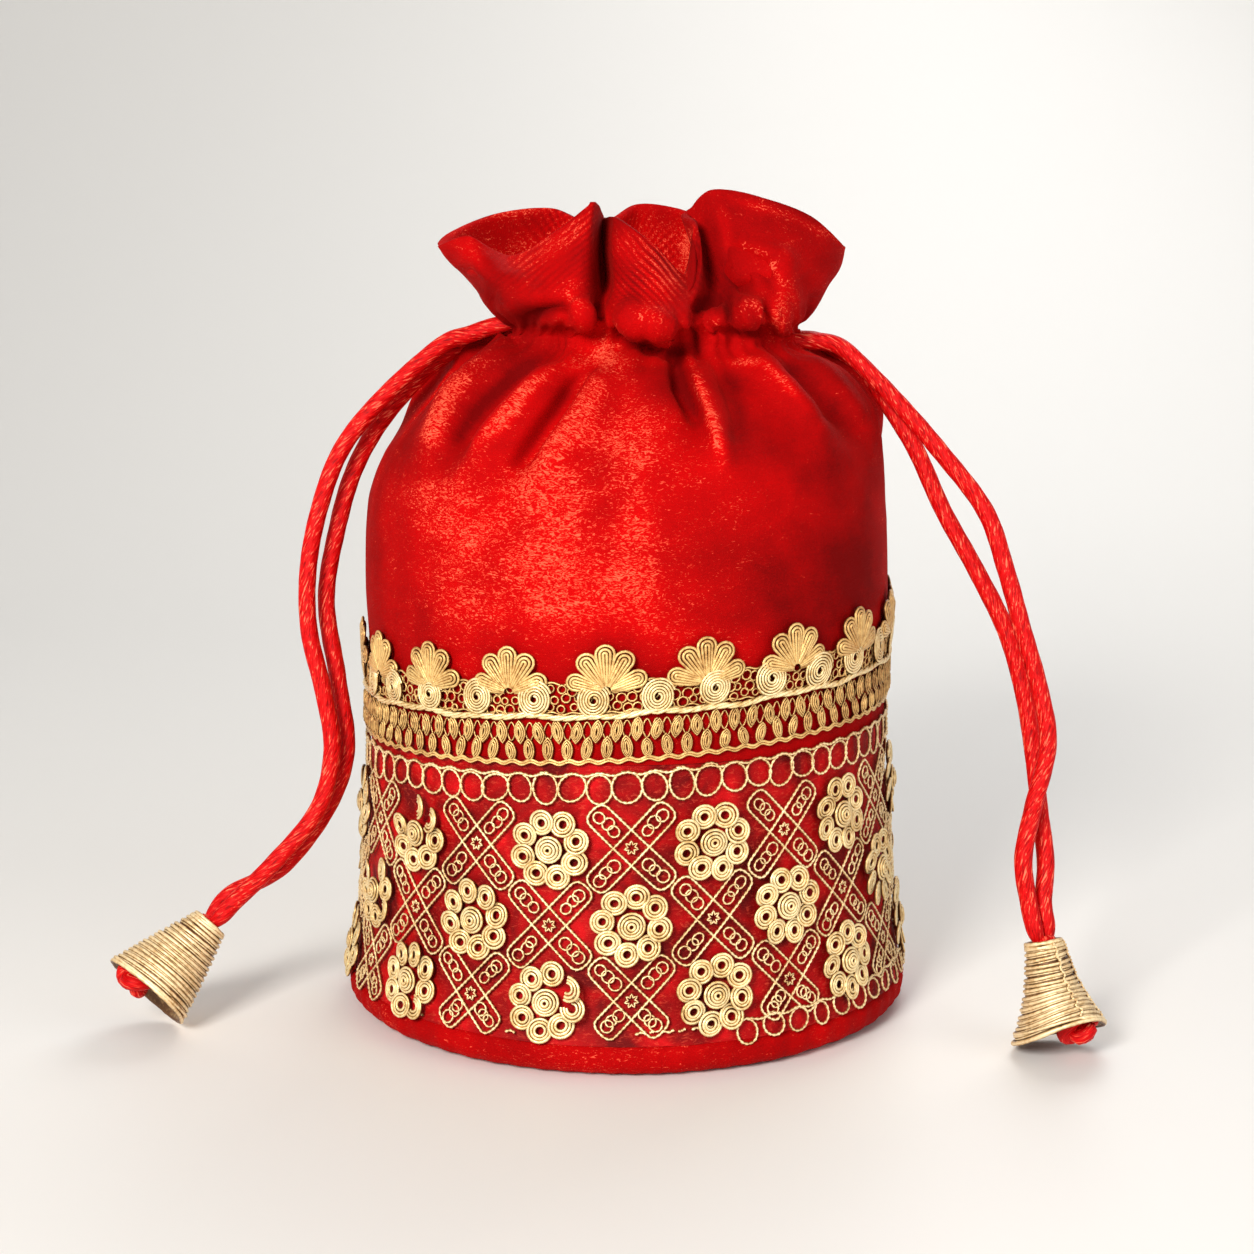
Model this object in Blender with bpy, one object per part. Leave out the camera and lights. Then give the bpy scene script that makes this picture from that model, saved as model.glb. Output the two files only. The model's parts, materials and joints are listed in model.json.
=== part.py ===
"""Potli bag: a round velvet drawstring pouch with an embroidered lower panel.

Metres, +Z up. The origin is the middle of the base, on the surface that the
bag stands on, and the front of the bag looks along -Y. Places round the bag
are given by an angle that is 0 at the front and grows towards +X.
"""

import math

import bmesh
import bpy
import numpy as np
from mathutils import Vector

# Body of the bag
BASE_RADIUS = 0.0750
BASE_ROUNDING = 0.0060
BASE_FLAT_RADIUS = BASE_RADIUS - BASE_ROUNDING
BASE_EDGE_HEIGHT = 0.0080
BASE_EDGE_PADDING = 0.0048
WAIST_RADIUS = 0.0684
SHOULDER_RADIUS = 0.0692
NECK_HALF_WIDTH = 0.0365
NECK_HALF_DEPTH = 0.0310
NECK_HEIGHT = 0.1780
NECK_SHIFT = 0.0070
SEAM_HEIGHT = 0.0775
WAIST_HEIGHT = 0.0900
SHOULDER_HEIGHT = 0.1120
BULGE_HEIGHT = 0.1300
BULGE_DROP = 0.0007

# Cloth and card
VELVET_THICKNESS = 0.0012
FRILL_THICKNESS = 0.0020
FRILL_LIP = 0.0002
FRILL_SWELL = 0.8
PANEL_THICKNESS = 0.0014
LINING_THICKNESS = 0.0008
CARD_THICKNESS = 0.0020
BASE_THICKNESS = 0.0016
GAP = 0.0003

# Cords and the channel that they run in
CORD_DIAMETER = 0.0046
CORD_GAP = 0.0005
CORD_BEND = 0.0092
NECK_PLEAT = 0.0014
FACING_HEM = 0.0040
SLOT_WIDTH = 0.0220
SLOT_EASE = 0.0010
SLOT_SIDES = 16
LOOP_OPEN_ANGLE = 25.0

# Gold lace and embroidery
TRIM_LIFT = 0.0004
LACE_THICKNESS = 0.0009
LACE_BOTTOM = 0.0785
LACE_SPLIT = 0.0903
SHELL_FOOT = 0.0985
SHELL_HEIGHT = 0.0072
SHELL_COUNT = 18
SHELL_LOBES = 5
SHELL_DENT = 0.0011
SHELL_ROUNDNESS = 0.55
LEAF_COUNT = 60
LEAF_DROP = 0.0014
LACE_TILT = 0.0045
FLOWER_COUNT = 11
FLOWER_LOBES = 8
FLOWER_RADIUS = 0.0101
FLOWER_WAIST = 0.0081
FLOWER_THICKNESS = 0.0009
FLOWER_BOSS = 0.0008
ROW_HEIGHTS = (0.0573, 0.0383, 0.0196)
ROW_TILT = 0.0030
FRONT_FLOWER_ANGLE = -15.5
CROSS_WIDTH = 0.0062
CROSS_WAIST = 0.0034
CROSS_THICKNESS = 0.0007
LOWEST_ARM_SHARE = 0.70

# Cord ends
CONE_LENGTH = 0.0245
CONE_TOP_RADIUS = 0.0050
CONE_MOUTH_RADIUS = 0.0125
CONE_HOLE_RADIUS = 0.0035
CONE_WALL = 0.0013
CONE_TURNS = 5
CONE_TURN_DEPTH = 0.0005
KNOT_RADIUS = 0.0070
KNOT_STEM_RADIUS = 0.0031
KNOT_TAIL_RADIUS = 0.0033
KNOT_TAIL_PAST_MOUTH = 0.0030
KNOT_TAIL_TIP_SHARE = 0.6
KNOT_BENDS = (-45, -15, 15, 45)

# Where each cord end hangs: the middle of the cone's top, and the way down
LEFT_CONE_TOP = (-0.1086, -0.0300, 0.0262)
LEFT_CONE_AXIS = (-0.644, -0.365, -0.671)
RIGHT_CONE_TOP = (0.1051, -0.0499, 0.0276)
RIGHT_CONE_AXIS = (0.170, -0.250, -0.953)

# Columns of the top cloth for each stretch of the frill's lines, and the
# sides of the round pieces
FRONT_STEPS = 3
BACK_STEPS = 2
PANEL_SIDES = 44
LINING_SIDES = 20
BASE_SIDES = 36
BASE_BENDS = 3
CONE_SIDES = 14
KNOT_SIDES = 8

# The drawn-in cloth: share of the way up from the bulge to the neck, and the
# share of the width between neck and shoulder that is left there
NECK_CURVE = (
    (0.0, 1.0 - BULGE_DROP / (SHOULDER_RADIUS - NECK_HALF_WIDTH)), (0.29, 0.908),
    (0.52, 0.762), (0.71, 0.541), (0.833, 0.290), (0.90, 0.092), (0.94, 0.012),
    (1.0, 0.0),
)


def neck_share(share):
    """Height at a share of the way up from the bulge to the neck."""
    return BULGE_HEIGHT + share * (NECK_HEIGHT - BULGE_HEIGHT)


# Shares of the seam's height where panel and lining bend
PANEL_SHARES = (0.30, 0.74)

# Radius of the bag by height, from the base edge to the neck
BODY_PROFILE = (
    (BASE_EDGE_HEIGHT, BASE_RADIUS),
    (PANEL_SHARES[0] * SEAM_HEIGHT, 0.5 * (BASE_RADIUS + SHOULDER_RADIUS)),
    (PANEL_SHARES[1] * SEAM_HEIGHT, SHOULDER_RADIUS + 0.5 * (SHOULDER_RADIUS - WAIST_RADIUS)),
    (WAIST_HEIGHT, WAIST_RADIUS),
    (SHOULDER_HEIGHT, SHOULDER_RADIUS),
    *((neck_share(share), NECK_HALF_WIDTH + left * (SHOULDER_RADIUS - NECK_HALF_WIDTH))
      for share, left in NECK_CURVE),
)

# Gathers below the neck: angle at the neck, angle where the fold runs out,
# share of the way from bulge to neck where it runs out, its half width in
# degrees, and how far it stands out, in gather depths (a crease is negative)
FRONT_GATHERS = (
    (-64, -53, 0.21, 7.0, 0.46),
    (-45, -44, 0.33, 6.0, -0.42),
    (-26, -37, 0.17, 6.0, 0.58),
    (-17, -31, 0.04, 6.0, -0.65),
    (-7, -24, 0.0, 5.5, 0.42),
    (10, 15, 0.33, 5.5, -1.0),
    (16, 23, 0.08, 5.5, 0.69),
    (27, 36, 0.29, 7.0, -0.46),
    (36, 51, 0.17, 6.0, 0.50),
    (50, 63, 0.33, 7.0, -0.38),
    (64, 75, 0.25, 7.0, 0.38),
)
BACK_GATHER_COUNT = 6
BACK_GATHER_STEP = 32.0
BACK_GATHER_FIRST = 96.0
BACK_GATHER_LEAN = 3.0
BACK_GATHER_WIDTH = 7.0
BACK_GATHER_SHARE = 0.58
BACK_GATHER_FEET = (0.21, 0.33)
GATHER_DEPTH = 0.0052
GATHER_FULL_SHARE = 0.73
GATHER_EASE_SHARES = (0.77, 0.92)

# The frilled top: each row of points is a closed line round the mouth, from
# the left tip along the front to the right tip and back, as (x, y, height over
# the neck) in frill units. The puffs are the cloth that bulges over the channel.
FRILL_UNIT = NECK_HALF_WIDTH / 36.5
PUFF_LINE = (
    (-36, -2, 6), (-34, -14, 6), (-27, -25, 6), (-20, -32, 6),
    (-11.5, -37, 5), (-6, -30, 6), (-2, -37, 5.5), (7, -42, 4),
    (15, -37, 4), (18, -29, 6), (24, -31, 5), (32, -30, 6.5),
    (41, -22, 5.5), (47, -12, 6), (49.5, 0, 6), (45, 13, 6),
    (37, 23, 6), (27, 26, 6), (17, 32, 6), (6, 33, 6),
    (-5, 29, 6), (-15, 29, 6), (-25, 22, 6), (-33, 11, 6),
)
MIDDLE_LINE = (
    (-42, -5, 13), (-37, -20, 13), (-29, -25, 13), (-20, -31, 13),
    (-10, -32, 14), (-6, -14, 13), (-2, -32, 13), (7, -38, 10.5),
    (15, -34, 9), (19.5, -25, 13), (20.5, -14, 14), (27, -21, 14),
    (38, -24, 14), (47, -14, 13), (53, 0, 12), (47, 15, 13),
    (37, 25, 13), (27, 22, 13), (16, 32, 13), (4, 33, 13),
    (-7, 24, 13), (-18, 29, 13), (-30, 22, 13), (-39, 10, 13),
)
RIM_LINE = (
    (-49, -6, 22), (-40, -19, 24.5), (-29.5, -13, 19.5),
    (-18, -21, 26), (-8, -24, 33), (-6.5, -6, 29), (-3.2, -26, 29),
    (7, -31, 22.5), (15.5, -24, 15), (18.5, -14, 27), (16, -3, 30),
    (21.5, -5, 36), (34.5, -13, 34), (48, -10, 29), (57, 0, 21),
    (50, 14, 26), (38, 25, 30), (26, 20, 27), (14, 32, 31),
    (2, 33, 32), (-8, 22, 27), (-20, 29, 31), (-34, 22, 30),
    (-45, 8, 26),
)
LEFT_TIP = 0
RIGHT_TIP = 14

# Routes of the four free cords from the slot in the neck down to the cone, with
# x and y in frill units and heights in route units. The last points follow from
# the cone itself.
ROUTE_UNIT = NECK_HEIGHT / 178.0
LEFT_FRONT_ROUTE = (
    (-34.5, -5.2, 179.5),
    (-41.0, -4.9, 177.3), (-48.5, -5.9, 174.3), (-63.5, -8.9, 161.1),
    (-74.1, -11.4, 147.9), (-79.9, -13.9, 132.5), (-82.8, -16.2, 117.1),
    (-82.6, -18.5, 101.7), (-79.0, -20.9, 86.3), (-76.7, -23.2, 70.9),
    (-80.6, -25.6, 55.4), (-93.0, -29.3, 40.8),
)
LEFT_BACK_ROUTE = (
    (-34.8, 4.9, 178.6),
    (-42.0, 2.2, 174.4), (-50.4, 0.6, 169.7), (-62.7, -2.3, 156.9),
    (-71.0, -5.0, 143.2), (-75.8, -7.6, 127.7), (-78.9, -10.8, 108.3),
    (-75.8, -14.3, 87.6), (-73.7, -17.2, 69.5), (-78.7, -19.8, 54.5),
    (-90.2, -23.3, 39.8),
)
RIGHT_FRONT_ROUTE = (
    (48.5, -5.3, 175.6),
    (55.0, -5.6, 174.4), (61.6, -8.3, 168.8), (71.2, -12.3, 158.8),
    (80.3, -16.3, 148.4), (91.7, -21.8, 133.5), (96.8, -26.4, 118.7),
    (100.8, -30.9, 103.9), (104.8, -35.4, 89.3), (106.6, -39.4, 75.9),
    (102.4, -44.3, 60.2), (99.8, -48.0, 48.2),
)
RIGHT_BACK_ROUTE = (
    (49.0, 4.8, 175.4),
    (54.5, 1.8, 173.4), (61.5, -1.1, 168.8), (69.2, -5.0, 157.6), (75.5, -8.8, 147.1),
    (82.0, -13.7, 132.5), (90.2, -19.0, 117.6), (97.5, -24.2, 102.7),
    (101.6, -29.0, 88.0), (103.8, -33.7, 73.3), (105.2, -38.5, 58.2),
    (106.4, -42.4, 46.5),
)

# Spacing of a cord's points in diameters, and their places near a bent end
CORD_STEP = 2.9
LOOP_STEP = 1.7
CORD_END_STEPS = (0.0, 0.15, 0.6, 1.1, 1.7, 2.4, 3.2, 4.2)


def clear_scene():
    for obj in list(bpy.data.objects):
        bpy.data.objects.remove(obj)


def material(name, colour, roughness, metallic=0.0):
    made = bpy.data.materials.new(name)
    made.use_nodes = True
    shader = made.node_tree.nodes["Principled BSDF"]
    shader.inputs["Base Color"].default_value = (*colour, 1.0)
    shader.inputs["Roughness"].default_value = roughness
    shader.inputs["Metallic"].default_value = metallic
    return made


def add_object(name, mesh, finish):
    mesh.materials.append(finish)
    obj = bpy.data.objects.new(name, mesh)
    bpy.context.scene.collection.objects.link(obj)
    return obj


def solid(name, points, faces, finish, smooth=True):
    """One closed mesh object whose faces all point outwards."""
    mesh = bpy.data.meshes.new(name)
    mesh.from_pydata([tuple(p) for p in points], [], faces)
    work = bmesh.new()
    work.from_mesh(mesh)
    bmesh.ops.recalc_face_normals(work, faces=work.faces)
    work.to_mesh(mesh)
    work.free()
    if smooth:
        mesh.shade_smooth()
        mesh.set_sharp_from_angle(angle=math.radians(40))
    return add_object(name, mesh, finish)


def ring_faces(rings, sides, closed_section=True, caps=False):
    """Faces between consecutive rings of points; caps fill the two ends."""
    faces = []
    count = rings if closed_section else rings - 1
    for ring in range(count):
        low = ring * sides
        high = (ring + 1) % rings * sides
        for side in range(sides):
            after = (side + 1) % sides
            faces.append((low + side, low + after, high + after, high + side))
    if caps:
        faces.append(tuple(range(sides)))
        last = (rings - 1) * sides
        faces.append(tuple(range(last, last + sides)))
    return faces


def smoothstep(low, high, value):
    share = np.clip((value - low) / (high - low), 0.0, 1.0)
    return share * share * (3.0 - 2.0 * share)


def spline(points, steps, closed=False):
    """Catmull-Rom points through the given ones, steps to each stretch."""
    points = np.asarray(points, dtype=float)
    if closed:
        padded = np.vstack([points[-1], points, points[0], points[1]])
        stretches = len(points)
    else:
        before = 2.0 * points[0] - points[1]
        past = 2.0 * points[-1] - points[-2]
        padded = np.vstack([before, points, past])
        stretches = len(points) - 1
    made = []
    for index in range(stretches):
        a, b, c, d = padded[index:index + 4]
        for step in range(steps):
            t = step / steps
            made.append(0.5 * (2 * b + (c - a) * t
                               + (2 * a - 5 * b + 4 * c - d) * t ** 2
                               + (3 * b - a - 3 * c + d) * t ** 3))
    if not closed:
        made.append(points[-1])
    return np.array(made)


PROFILE_CURVE = spline(BODY_PROFILE, 8)


def body_radius(height):
    return np.interp(height, PROFILE_CURVE[:, 0], PROFILE_CURVE[:, 1])


def all_gathers():
    gathers = list(FRONT_GATHERS)
    for index in range(BACK_GATHER_COUNT):
        angle = BACK_GATHER_FIRST + index * BACK_GATHER_STEP
        between_folds = angle + 0.5 * BACK_GATHER_STEP
        foot = BACK_GATHER_FEET[index % 2]
        gathers.append((angle, angle + BACK_GATHER_LEAN, foot, BACK_GATHER_WIDTH,
                        BACK_GATHER_SHARE))
        gathers.append((between_folds, between_folds + BACK_GATHER_LEAN, foot,
                        BACK_GATHER_WIDTH, -BACK_GATHER_SHARE))
    return gathers


GATHERS = all_gathers()


def gather_push(angle, height):
    """How far the gathered cloth stands out of the round body (degrees in)."""
    push = np.zeros_like(angle)
    up = (height - BULGE_HEIGHT) / (NECK_HEIGHT - BULGE_HEIGHT)
    for neck_angle, low_angle, low, width, depth in GATHERS:
        rise = smoothstep(low, GATHER_FULL_SHARE, up)
        along = np.clip((up - low) / (1.0 - low), 0.0, 1.0)
        centre = low_angle + (neck_angle - low_angle) * along
        away = (angle - centre + 180.0) % 360.0 - 180.0
        push += GATHER_DEPTH * depth * rise * np.exp(-(away / width) ** 2)
    at_neck = NECK_PLEAT / GATHER_DEPTH
    ease = 1.0 - (1.0 - at_neck) * smoothstep(*GATHER_EASE_SHARES, up)
    return np.clip(push * ease, -GATHER_DEPTH, GATHER_DEPTH)


def bag_point(angle, height, lift=0.0, gathered=True):
    """Point on the bag's outer surface, moved outwards by lift."""
    angle = np.atleast_1d(np.asarray(angle, dtype=float))
    radius = body_radius(height) + lift
    if gathered:
        radius = radius + gather_push(angle, height)
    pull = smoothstep(BULGE_HEIGHT, NECK_HEIGHT, height)
    depth = 1.0 + (NECK_HALF_DEPTH / NECK_HALF_WIDTH - 1.0) * pull
    turn = np.radians(angle)
    return np.column_stack([
        NECK_SHIFT * pull + radius * np.sin(turn),
        -radius * depth * np.cos(turn),
        np.full_like(turn, height),
    ])


def even_angles(sides):
    return np.arange(sides) * 360.0 / sides


def frill_steps():
    """Columns of cloth for each stretch of the frill: fewer behind."""
    return [FRONT_STEPS] * RIGHT_TIP + [BACK_STEPS] * (len(RIM_LINE) - RIGHT_TIP)


def cloth_angles():
    """Angles of the cloth's columns, spaced like the frill's own points."""
    stations = []
    for index, steps in enumerate(frill_steps()):
        stations += [index + step / steps for step in range(steps)]
    return np.interp(stations, (LEFT_TIP, RIGHT_TIP, len(RIM_LINE)), (-90, 90, 270))


def frill_ring(line, inset=0.0, rise=0.0):
    """Closed line of the frill, moved into the cloth by inset."""
    finest = FRONT_STEPS * BACK_STEPS
    fine = spline(np.array(line) * FRILL_UNIT, finest, closed=True)
    chosen = []
    for index, steps in enumerate(frill_steps()):
        chosen += [index * finest + step * finest // steps for step in range(steps)]
    along = (np.roll(fine, -1, axis=0) - np.roll(fine, 1, axis=0))[chosen]
    ring = fine[chosen]
    inward = np.column_stack([-along[:, 1], along[:, 0]])
    inward /= np.linalg.norm(inward, axis=1)[:, None]
    ring[:, :2] += inward * inset
    ring[:, 2] += NECK_HEIGHT + rise
    return ring


def between(line_a, line_b, share, swell):
    """A line between two others, pushed away from the middle by swell."""
    mixed = np.array(line_a) * (1.0 - share) + np.array(line_b) * share
    middle = np.array([NECK_SHIFT / FRILL_UNIT, 0.0])
    away = mixed[:, :2] - middle
    mixed[:, :2] += swell * away / np.linalg.norm(away, axis=1)[:, None]
    return mixed


def neck_ellipse(angles, height, inset):
    turn = np.radians(angles)
    return np.column_stack([
        NECK_SHIFT + (NECK_HALF_WIDTH - inset) * np.sin(turn),
        -(NECK_HALF_DEPTH - inset) * np.cos(turn),
        np.full_like(turn, height),
    ])


LOOP_INSET = VELVET_THICKNESS + NECK_PLEAT + CORD_GAP + 0.5 * CORD_DIAMETER
FACING_OUTER_INSET = LOOP_INSET + 0.5 * CORD_DIAMETER + CORD_GAP
FACING_INNER_INSET = FACING_OUTER_INSET + VELVET_THICKNESS
CORD_RISE = 0.5 * (CORD_DIAMETER + CORD_GAP)
CHANNEL_TOP = NECK_HEIGHT + CORD_RISE + 0.5 * CORD_DIAMETER + CORD_GAP
FACING_BOTTOM = NECK_HEIGHT - CORD_RISE - 0.5 * CORD_DIAMETER - FACING_HEM


# Shares of the way from bulge to neck where the cloth has a ring of points,
# the last a little apart to bring out the channel's line
WALL_SHARES = (0.14, 0.40, 0.57, 0.71, 0.833, 0.906, 1.0)

# The lining's last bends: share of the way to the neck, and its extra ease
LINING_DROP = 0.0080
LINING_SHARES = ((0.417, 0.0), (0.604, 0.0020))


def velvet_top(finish):
    """Upper cloth: wall, neck, frill and the facing folded down inside.

    Its section is one closed line. Between the wall and the facing it leaves
    the channel for the cords, which is open at the foot of the facing.
    """
    angles = cloth_angles()
    upper = between(MIDDLE_LINE, RIM_LINE, 0.5, FRILL_SWELL)
    heights = [SEAM_HEIGHT, WAIST_HEIGHT, 0.5 * (SHOULDER_HEIGHT + BULGE_HEIGHT)]
    heights += [neck_share(share) for share in WALL_SHARES]
    rings = [bag_point(angles, height) for height in heights]
    rings.append(frill_ring(PUFF_LINE))
    rings.append(frill_ring(MIDDLE_LINE))
    rings.append(frill_ring(upper))
    rings.append(frill_ring(RIM_LINE))
    rings.append(frill_ring(RIM_LINE, FRILL_THICKNESS, -FRILL_LIP))
    rings.append(frill_ring(MIDDLE_LINE, FRILL_THICKNESS, 0.5 * VELVET_THICKNESS))
    rings.append(neck_ellipse(angles, CHANNEL_TOP + VELVET_THICKNESS, FACING_INNER_INSET))
    rings.append(neck_ellipse(angles, FACING_BOTTOM, FACING_INNER_INSET))
    rings.append(neck_ellipse(angles, FACING_BOTTOM, FACING_OUTER_INSET))
    rings.append(neck_ellipse(angles, CHANNEL_TOP, FACING_OUTER_INSET))
    rings.append(neck_ellipse(angles, CHANNEL_TOP, VELVET_THICKNESS + NECK_PLEAT))
    heights.remove(WAIST_HEIGHT)
    for height in reversed(heights):
        rings.append(bag_point(angles, height, -VELVET_THICKNESS))
    faces = ring_faces(len(rings), len(angles))
    body = solid("velvet_top", np.vstack(rings), faces, finish)
    for side, level in ((-1, CORD_RISE), (1, -CORD_RISE)):
        cut_cord_slot(body, side, NECK_HEIGHT + level)
    return body


def cut_cord_slot(body, side, height):
    """Slot in the side of the neck where one cord's two ends come out."""
    half_height = 0.5 * CORD_DIAMETER + SLOT_EASE
    depth = 0.5 * NECK_HALF_WIDTH
    inner_end = NECK_HALF_WIDTH - LOOP_INSET
    bpy.ops.mesh.primitive_cylinder_add(vertices=SLOT_SIDES, radius=1.0, depth=1.0)
    cutter = bpy.context.active_object
    cutter.name = "left_slot_cutter" if side < 0 else "right_slot_cutter"
    cutter.rotation_euler = (0.0, math.radians(90), 0.0)
    cutter.scale = (half_height, 0.5 * SLOT_WIDTH, depth)
    middle = NECK_SHIFT + side * (inner_end + 0.5 * depth)
    cutter.location = (middle, 0.0, height)
    cutter.hide_render = True
    cutter.display_type = "WIRE"
    cut = body.modifiers.new(cutter.name, "BOOLEAN")
    cut.operation = "DIFFERENCE"
    cut.solver = "EXACT"
    cut.object = cutter


def embroidered_panel(finish):
    """Lower cloth tube that carries the embroidery."""
    angles = even_angles(PANEL_SIDES)
    top = SEAM_HEIGHT - GAP
    bottom = BASE_EDGE_HEIGHT + GAP
    heights = [bottom, *(share * SEAM_HEIGHT for share in PANEL_SHARES), top]
    rings = [bag_point(angles, height) for height in heights]
    rings += [bag_point(angles, height, -PANEL_THICKNESS) for height in reversed(heights)]
    faces = ring_faces(len(rings), PANEL_SIDES)
    return solid("embroidered_panel", np.vstack(rings), faces, finish)


def turned_rings(outline, sides):
    """Rings of a form turned about Z, from (radius, height) pairs."""
    turn = np.radians(even_angles(sides))
    return [np.column_stack([radius * np.sin(turn), -radius * np.cos(turn),
                             np.full_like(turn, height)]) for radius, height in outline]


def base_cover(finish):
    """Velvet base: a flat disc with a padded, rounded edge turned up."""
    rounding = []
    for step in range(BASE_BENDS + 1):
        bend = math.radians(90) * step / BASE_BENDS
        rounding.append((BASE_FLAT_RADIUS + BASE_ROUNDING * math.sin(bend),
                         (1.0 - math.cos(bend)) * BASE_EDGE_PADDING))
    inner = BASE_RADIUS - PANEL_THICKNESS
    outline = rounding + [(BASE_RADIUS, BASE_EDGE_HEIGHT), (inner, BASE_EDGE_HEIGHT),
                          (inner, BASE_EDGE_PADDING),
                          (BASE_FLAT_RADIUS, BASE_THICKNESS)]
    rings = turned_rings(outline, BASE_SIDES)
    faces = ring_faces(len(rings), BASE_SIDES, closed_section=False, caps=True)
    return solid("base_cover", np.vstack(rings), faces, finish)


def base_card(finish):
    """Stiff card disc that keeps the base flat."""
    low = BASE_THICKNESS + GAP
    radius = BASE_FLAT_RADIUS - GAP
    rings = turned_rings(((radius, low), (radius, low + CARD_THICKNESS)), LINING_SIDES)
    faces = ring_faces(2, LINING_SIDES, closed_section=False, caps=True)
    return solid("base_card", np.vstack(rings), faces, finish)


def lining(finish):
    """Inner bag: a cup of thin cloth drawn in to the foot of the facing."""
    angles = even_angles(LINING_SIDES)
    wall = PANEL_THICKNESS + GAP + GAP
    floor = BASE_THICKNESS + CARD_THICKNESS + 2.0 * GAP
    ease = GATHER_DEPTH + GAP
    stations = [(share * SEAM_HEIGHT, wall) for share in PANEL_SHARES]
    stations += [(WAIST_HEIGHT, wall + 2.0 * GAP), (BULGE_HEIGHT - LINING_DROP, wall)]
    stations += [(neck_share(share), wall + ease + extra) for share, extra in LINING_SHARES]

    def side_ring(height, inset):
        return bag_point(angles, height, -inset, gathered=False)

    def floor_ring(radius, height):
        return turned_rings(((radius, height),), LINING_SIDES)[0]

    top = FACING_BOTTOM - GAP
    corner = BASE_FLAT_RADIUS - wall
    rings = [floor_ring(corner, floor)]
    rings += [side_ring(height, inset) for height, inset in stations]
    rings.append(neck_ellipse(angles, top, FACING_OUTER_INSET))
    rings.append(neck_ellipse(angles, top - LINING_THICKNESS, FACING_INNER_INSET))
    rings += [side_ring(height, inset + LINING_THICKNESS)
              for height, inset in reversed(stations)]
    rings.append(floor_ring(corner - LINING_THICKNESS, floor + LINING_THICKNESS))
    faces = ring_faces(len(rings), LINING_SIDES, closed_section=False, caps=True)
    return solid("lining", np.vstack(rings), faces, finish)


def lace_height(angle, height):
    """Height of the lace at an angle: the band is sewn on a little askew."""
    return height + LACE_TILT * math.sin(math.radians(angle))


def row_height(angle, height):
    return height + ROW_TILT * math.sin(math.radians(angle))


def lace_band(name, columns, finish):
    """Flat band round the bag; each column is (angle, lower, upper height)."""
    points = []
    for angle, low, high in columns:
        for height, lift in ((low, TRIM_LIFT), (low, TRIM_LIFT + LACE_THICKNESS),
                             (high, TRIM_LIFT + LACE_THICKNESS), (high, TRIM_LIFT)):
            tilted = lace_height(angle, height)
            points.append(bag_point(angle, tilted, lift, gathered=False)[0])
    count = len(columns)
    faces = []
    for column in range(count):
        here = 4 * column
        there = 4 * ((column + 1) % count)
        for corner in range(4):
            after = (corner + 1) % 4
            faces.append((here + corner, there + corner, there + after, here + after))
    return solid(name, points, faces, finish, smooth=False)


def scallop_lace(finish):
    """Upper lace: a band whose top edge is a row of five-lobed shells."""
    points_per_shell = 2 * SHELL_LOBES
    columns = []
    for index in range(SHELL_COUNT * points_per_shell):
        angle = 360.0 * index / (SHELL_COUNT * points_per_shell)
        place = index % points_per_shell
        dome = math.sin(math.pi * place / points_per_shell)
        dent = SHELL_DENT if place % 2 == 0 and place > 0 else 0.0
        top = SHELL_FOOT + SHELL_HEIGHT * dome ** SHELL_ROUNDNESS - dent
        columns.append((angle, LACE_SPLIT + GAP, top))
    return lace_band("scallop_lace", columns, finish)


def leaf_lace(finish):
    """Lower lace: a band of small leaves with a toothed lower edge."""
    columns = []
    for index in range(LEAF_COUNT):
        drop = LEAF_DROP if index % 2 else 0.0
        columns.append((360.0 * index / LEAF_COUNT, LACE_BOTTOM + drop, LACE_SPLIT))
    return lace_band("leaf_lace", columns, finish)


def on_panel(angle, height, across, up, lift):
    """Point across and up from a place on the panel, on its curved surface."""
    turned = angle + math.degrees(across / body_radius(height))
    tilted = row_height(turned, height + up)
    return bag_point(turned, tilted, TRIM_LIFT + lift, gathered=False)[0]


def flower_angle(row, index):
    shift = 0.5 * (row % 2)
    return FRONT_FLOWER_ANGLE + (index + shift) * 360.0 / FLOWER_COUNT


def rosettes(finish):
    """Coiled gold flowers: three rows, each shifted by half a step."""
    sides = 2 * FLOWER_LOBES
    for row, height in enumerate(ROW_HEIGHTS):
        for index in range(FLOWER_COUNT):
            angle = flower_angle(row, index)
            points = [on_panel(angle, height, 0.0, 0.0, 0.0)]
            points.append(on_panel(angle, height, 0.0, 0.0, FLOWER_THICKNESS + FLOWER_BOSS))
            for lift in (0.0, FLOWER_THICKNESS):
                for side in range(sides):
                    turn = 2.0 * math.pi * side / sides
                    radius = FLOWER_WAIST if side % 2 else FLOWER_RADIUS
                    points.append(on_panel(angle, height, radius * math.sin(turn),
                                           radius * math.cos(turn), lift))
            faces = []
            for side in range(sides):
                after = (side + 1) % sides
                low, next_low = 2 + side, 2 + after
                high, next_high = low + sides, next_low + sides
                faces.append((0, low, next_low))
                faces.append((low, high, next_high, next_low))
                faces.append((1, next_high, high))
            solid(f"rosette_r{row + 1}_c{index + 1:02d}", points, faces, finish, smooth=False)


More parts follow.
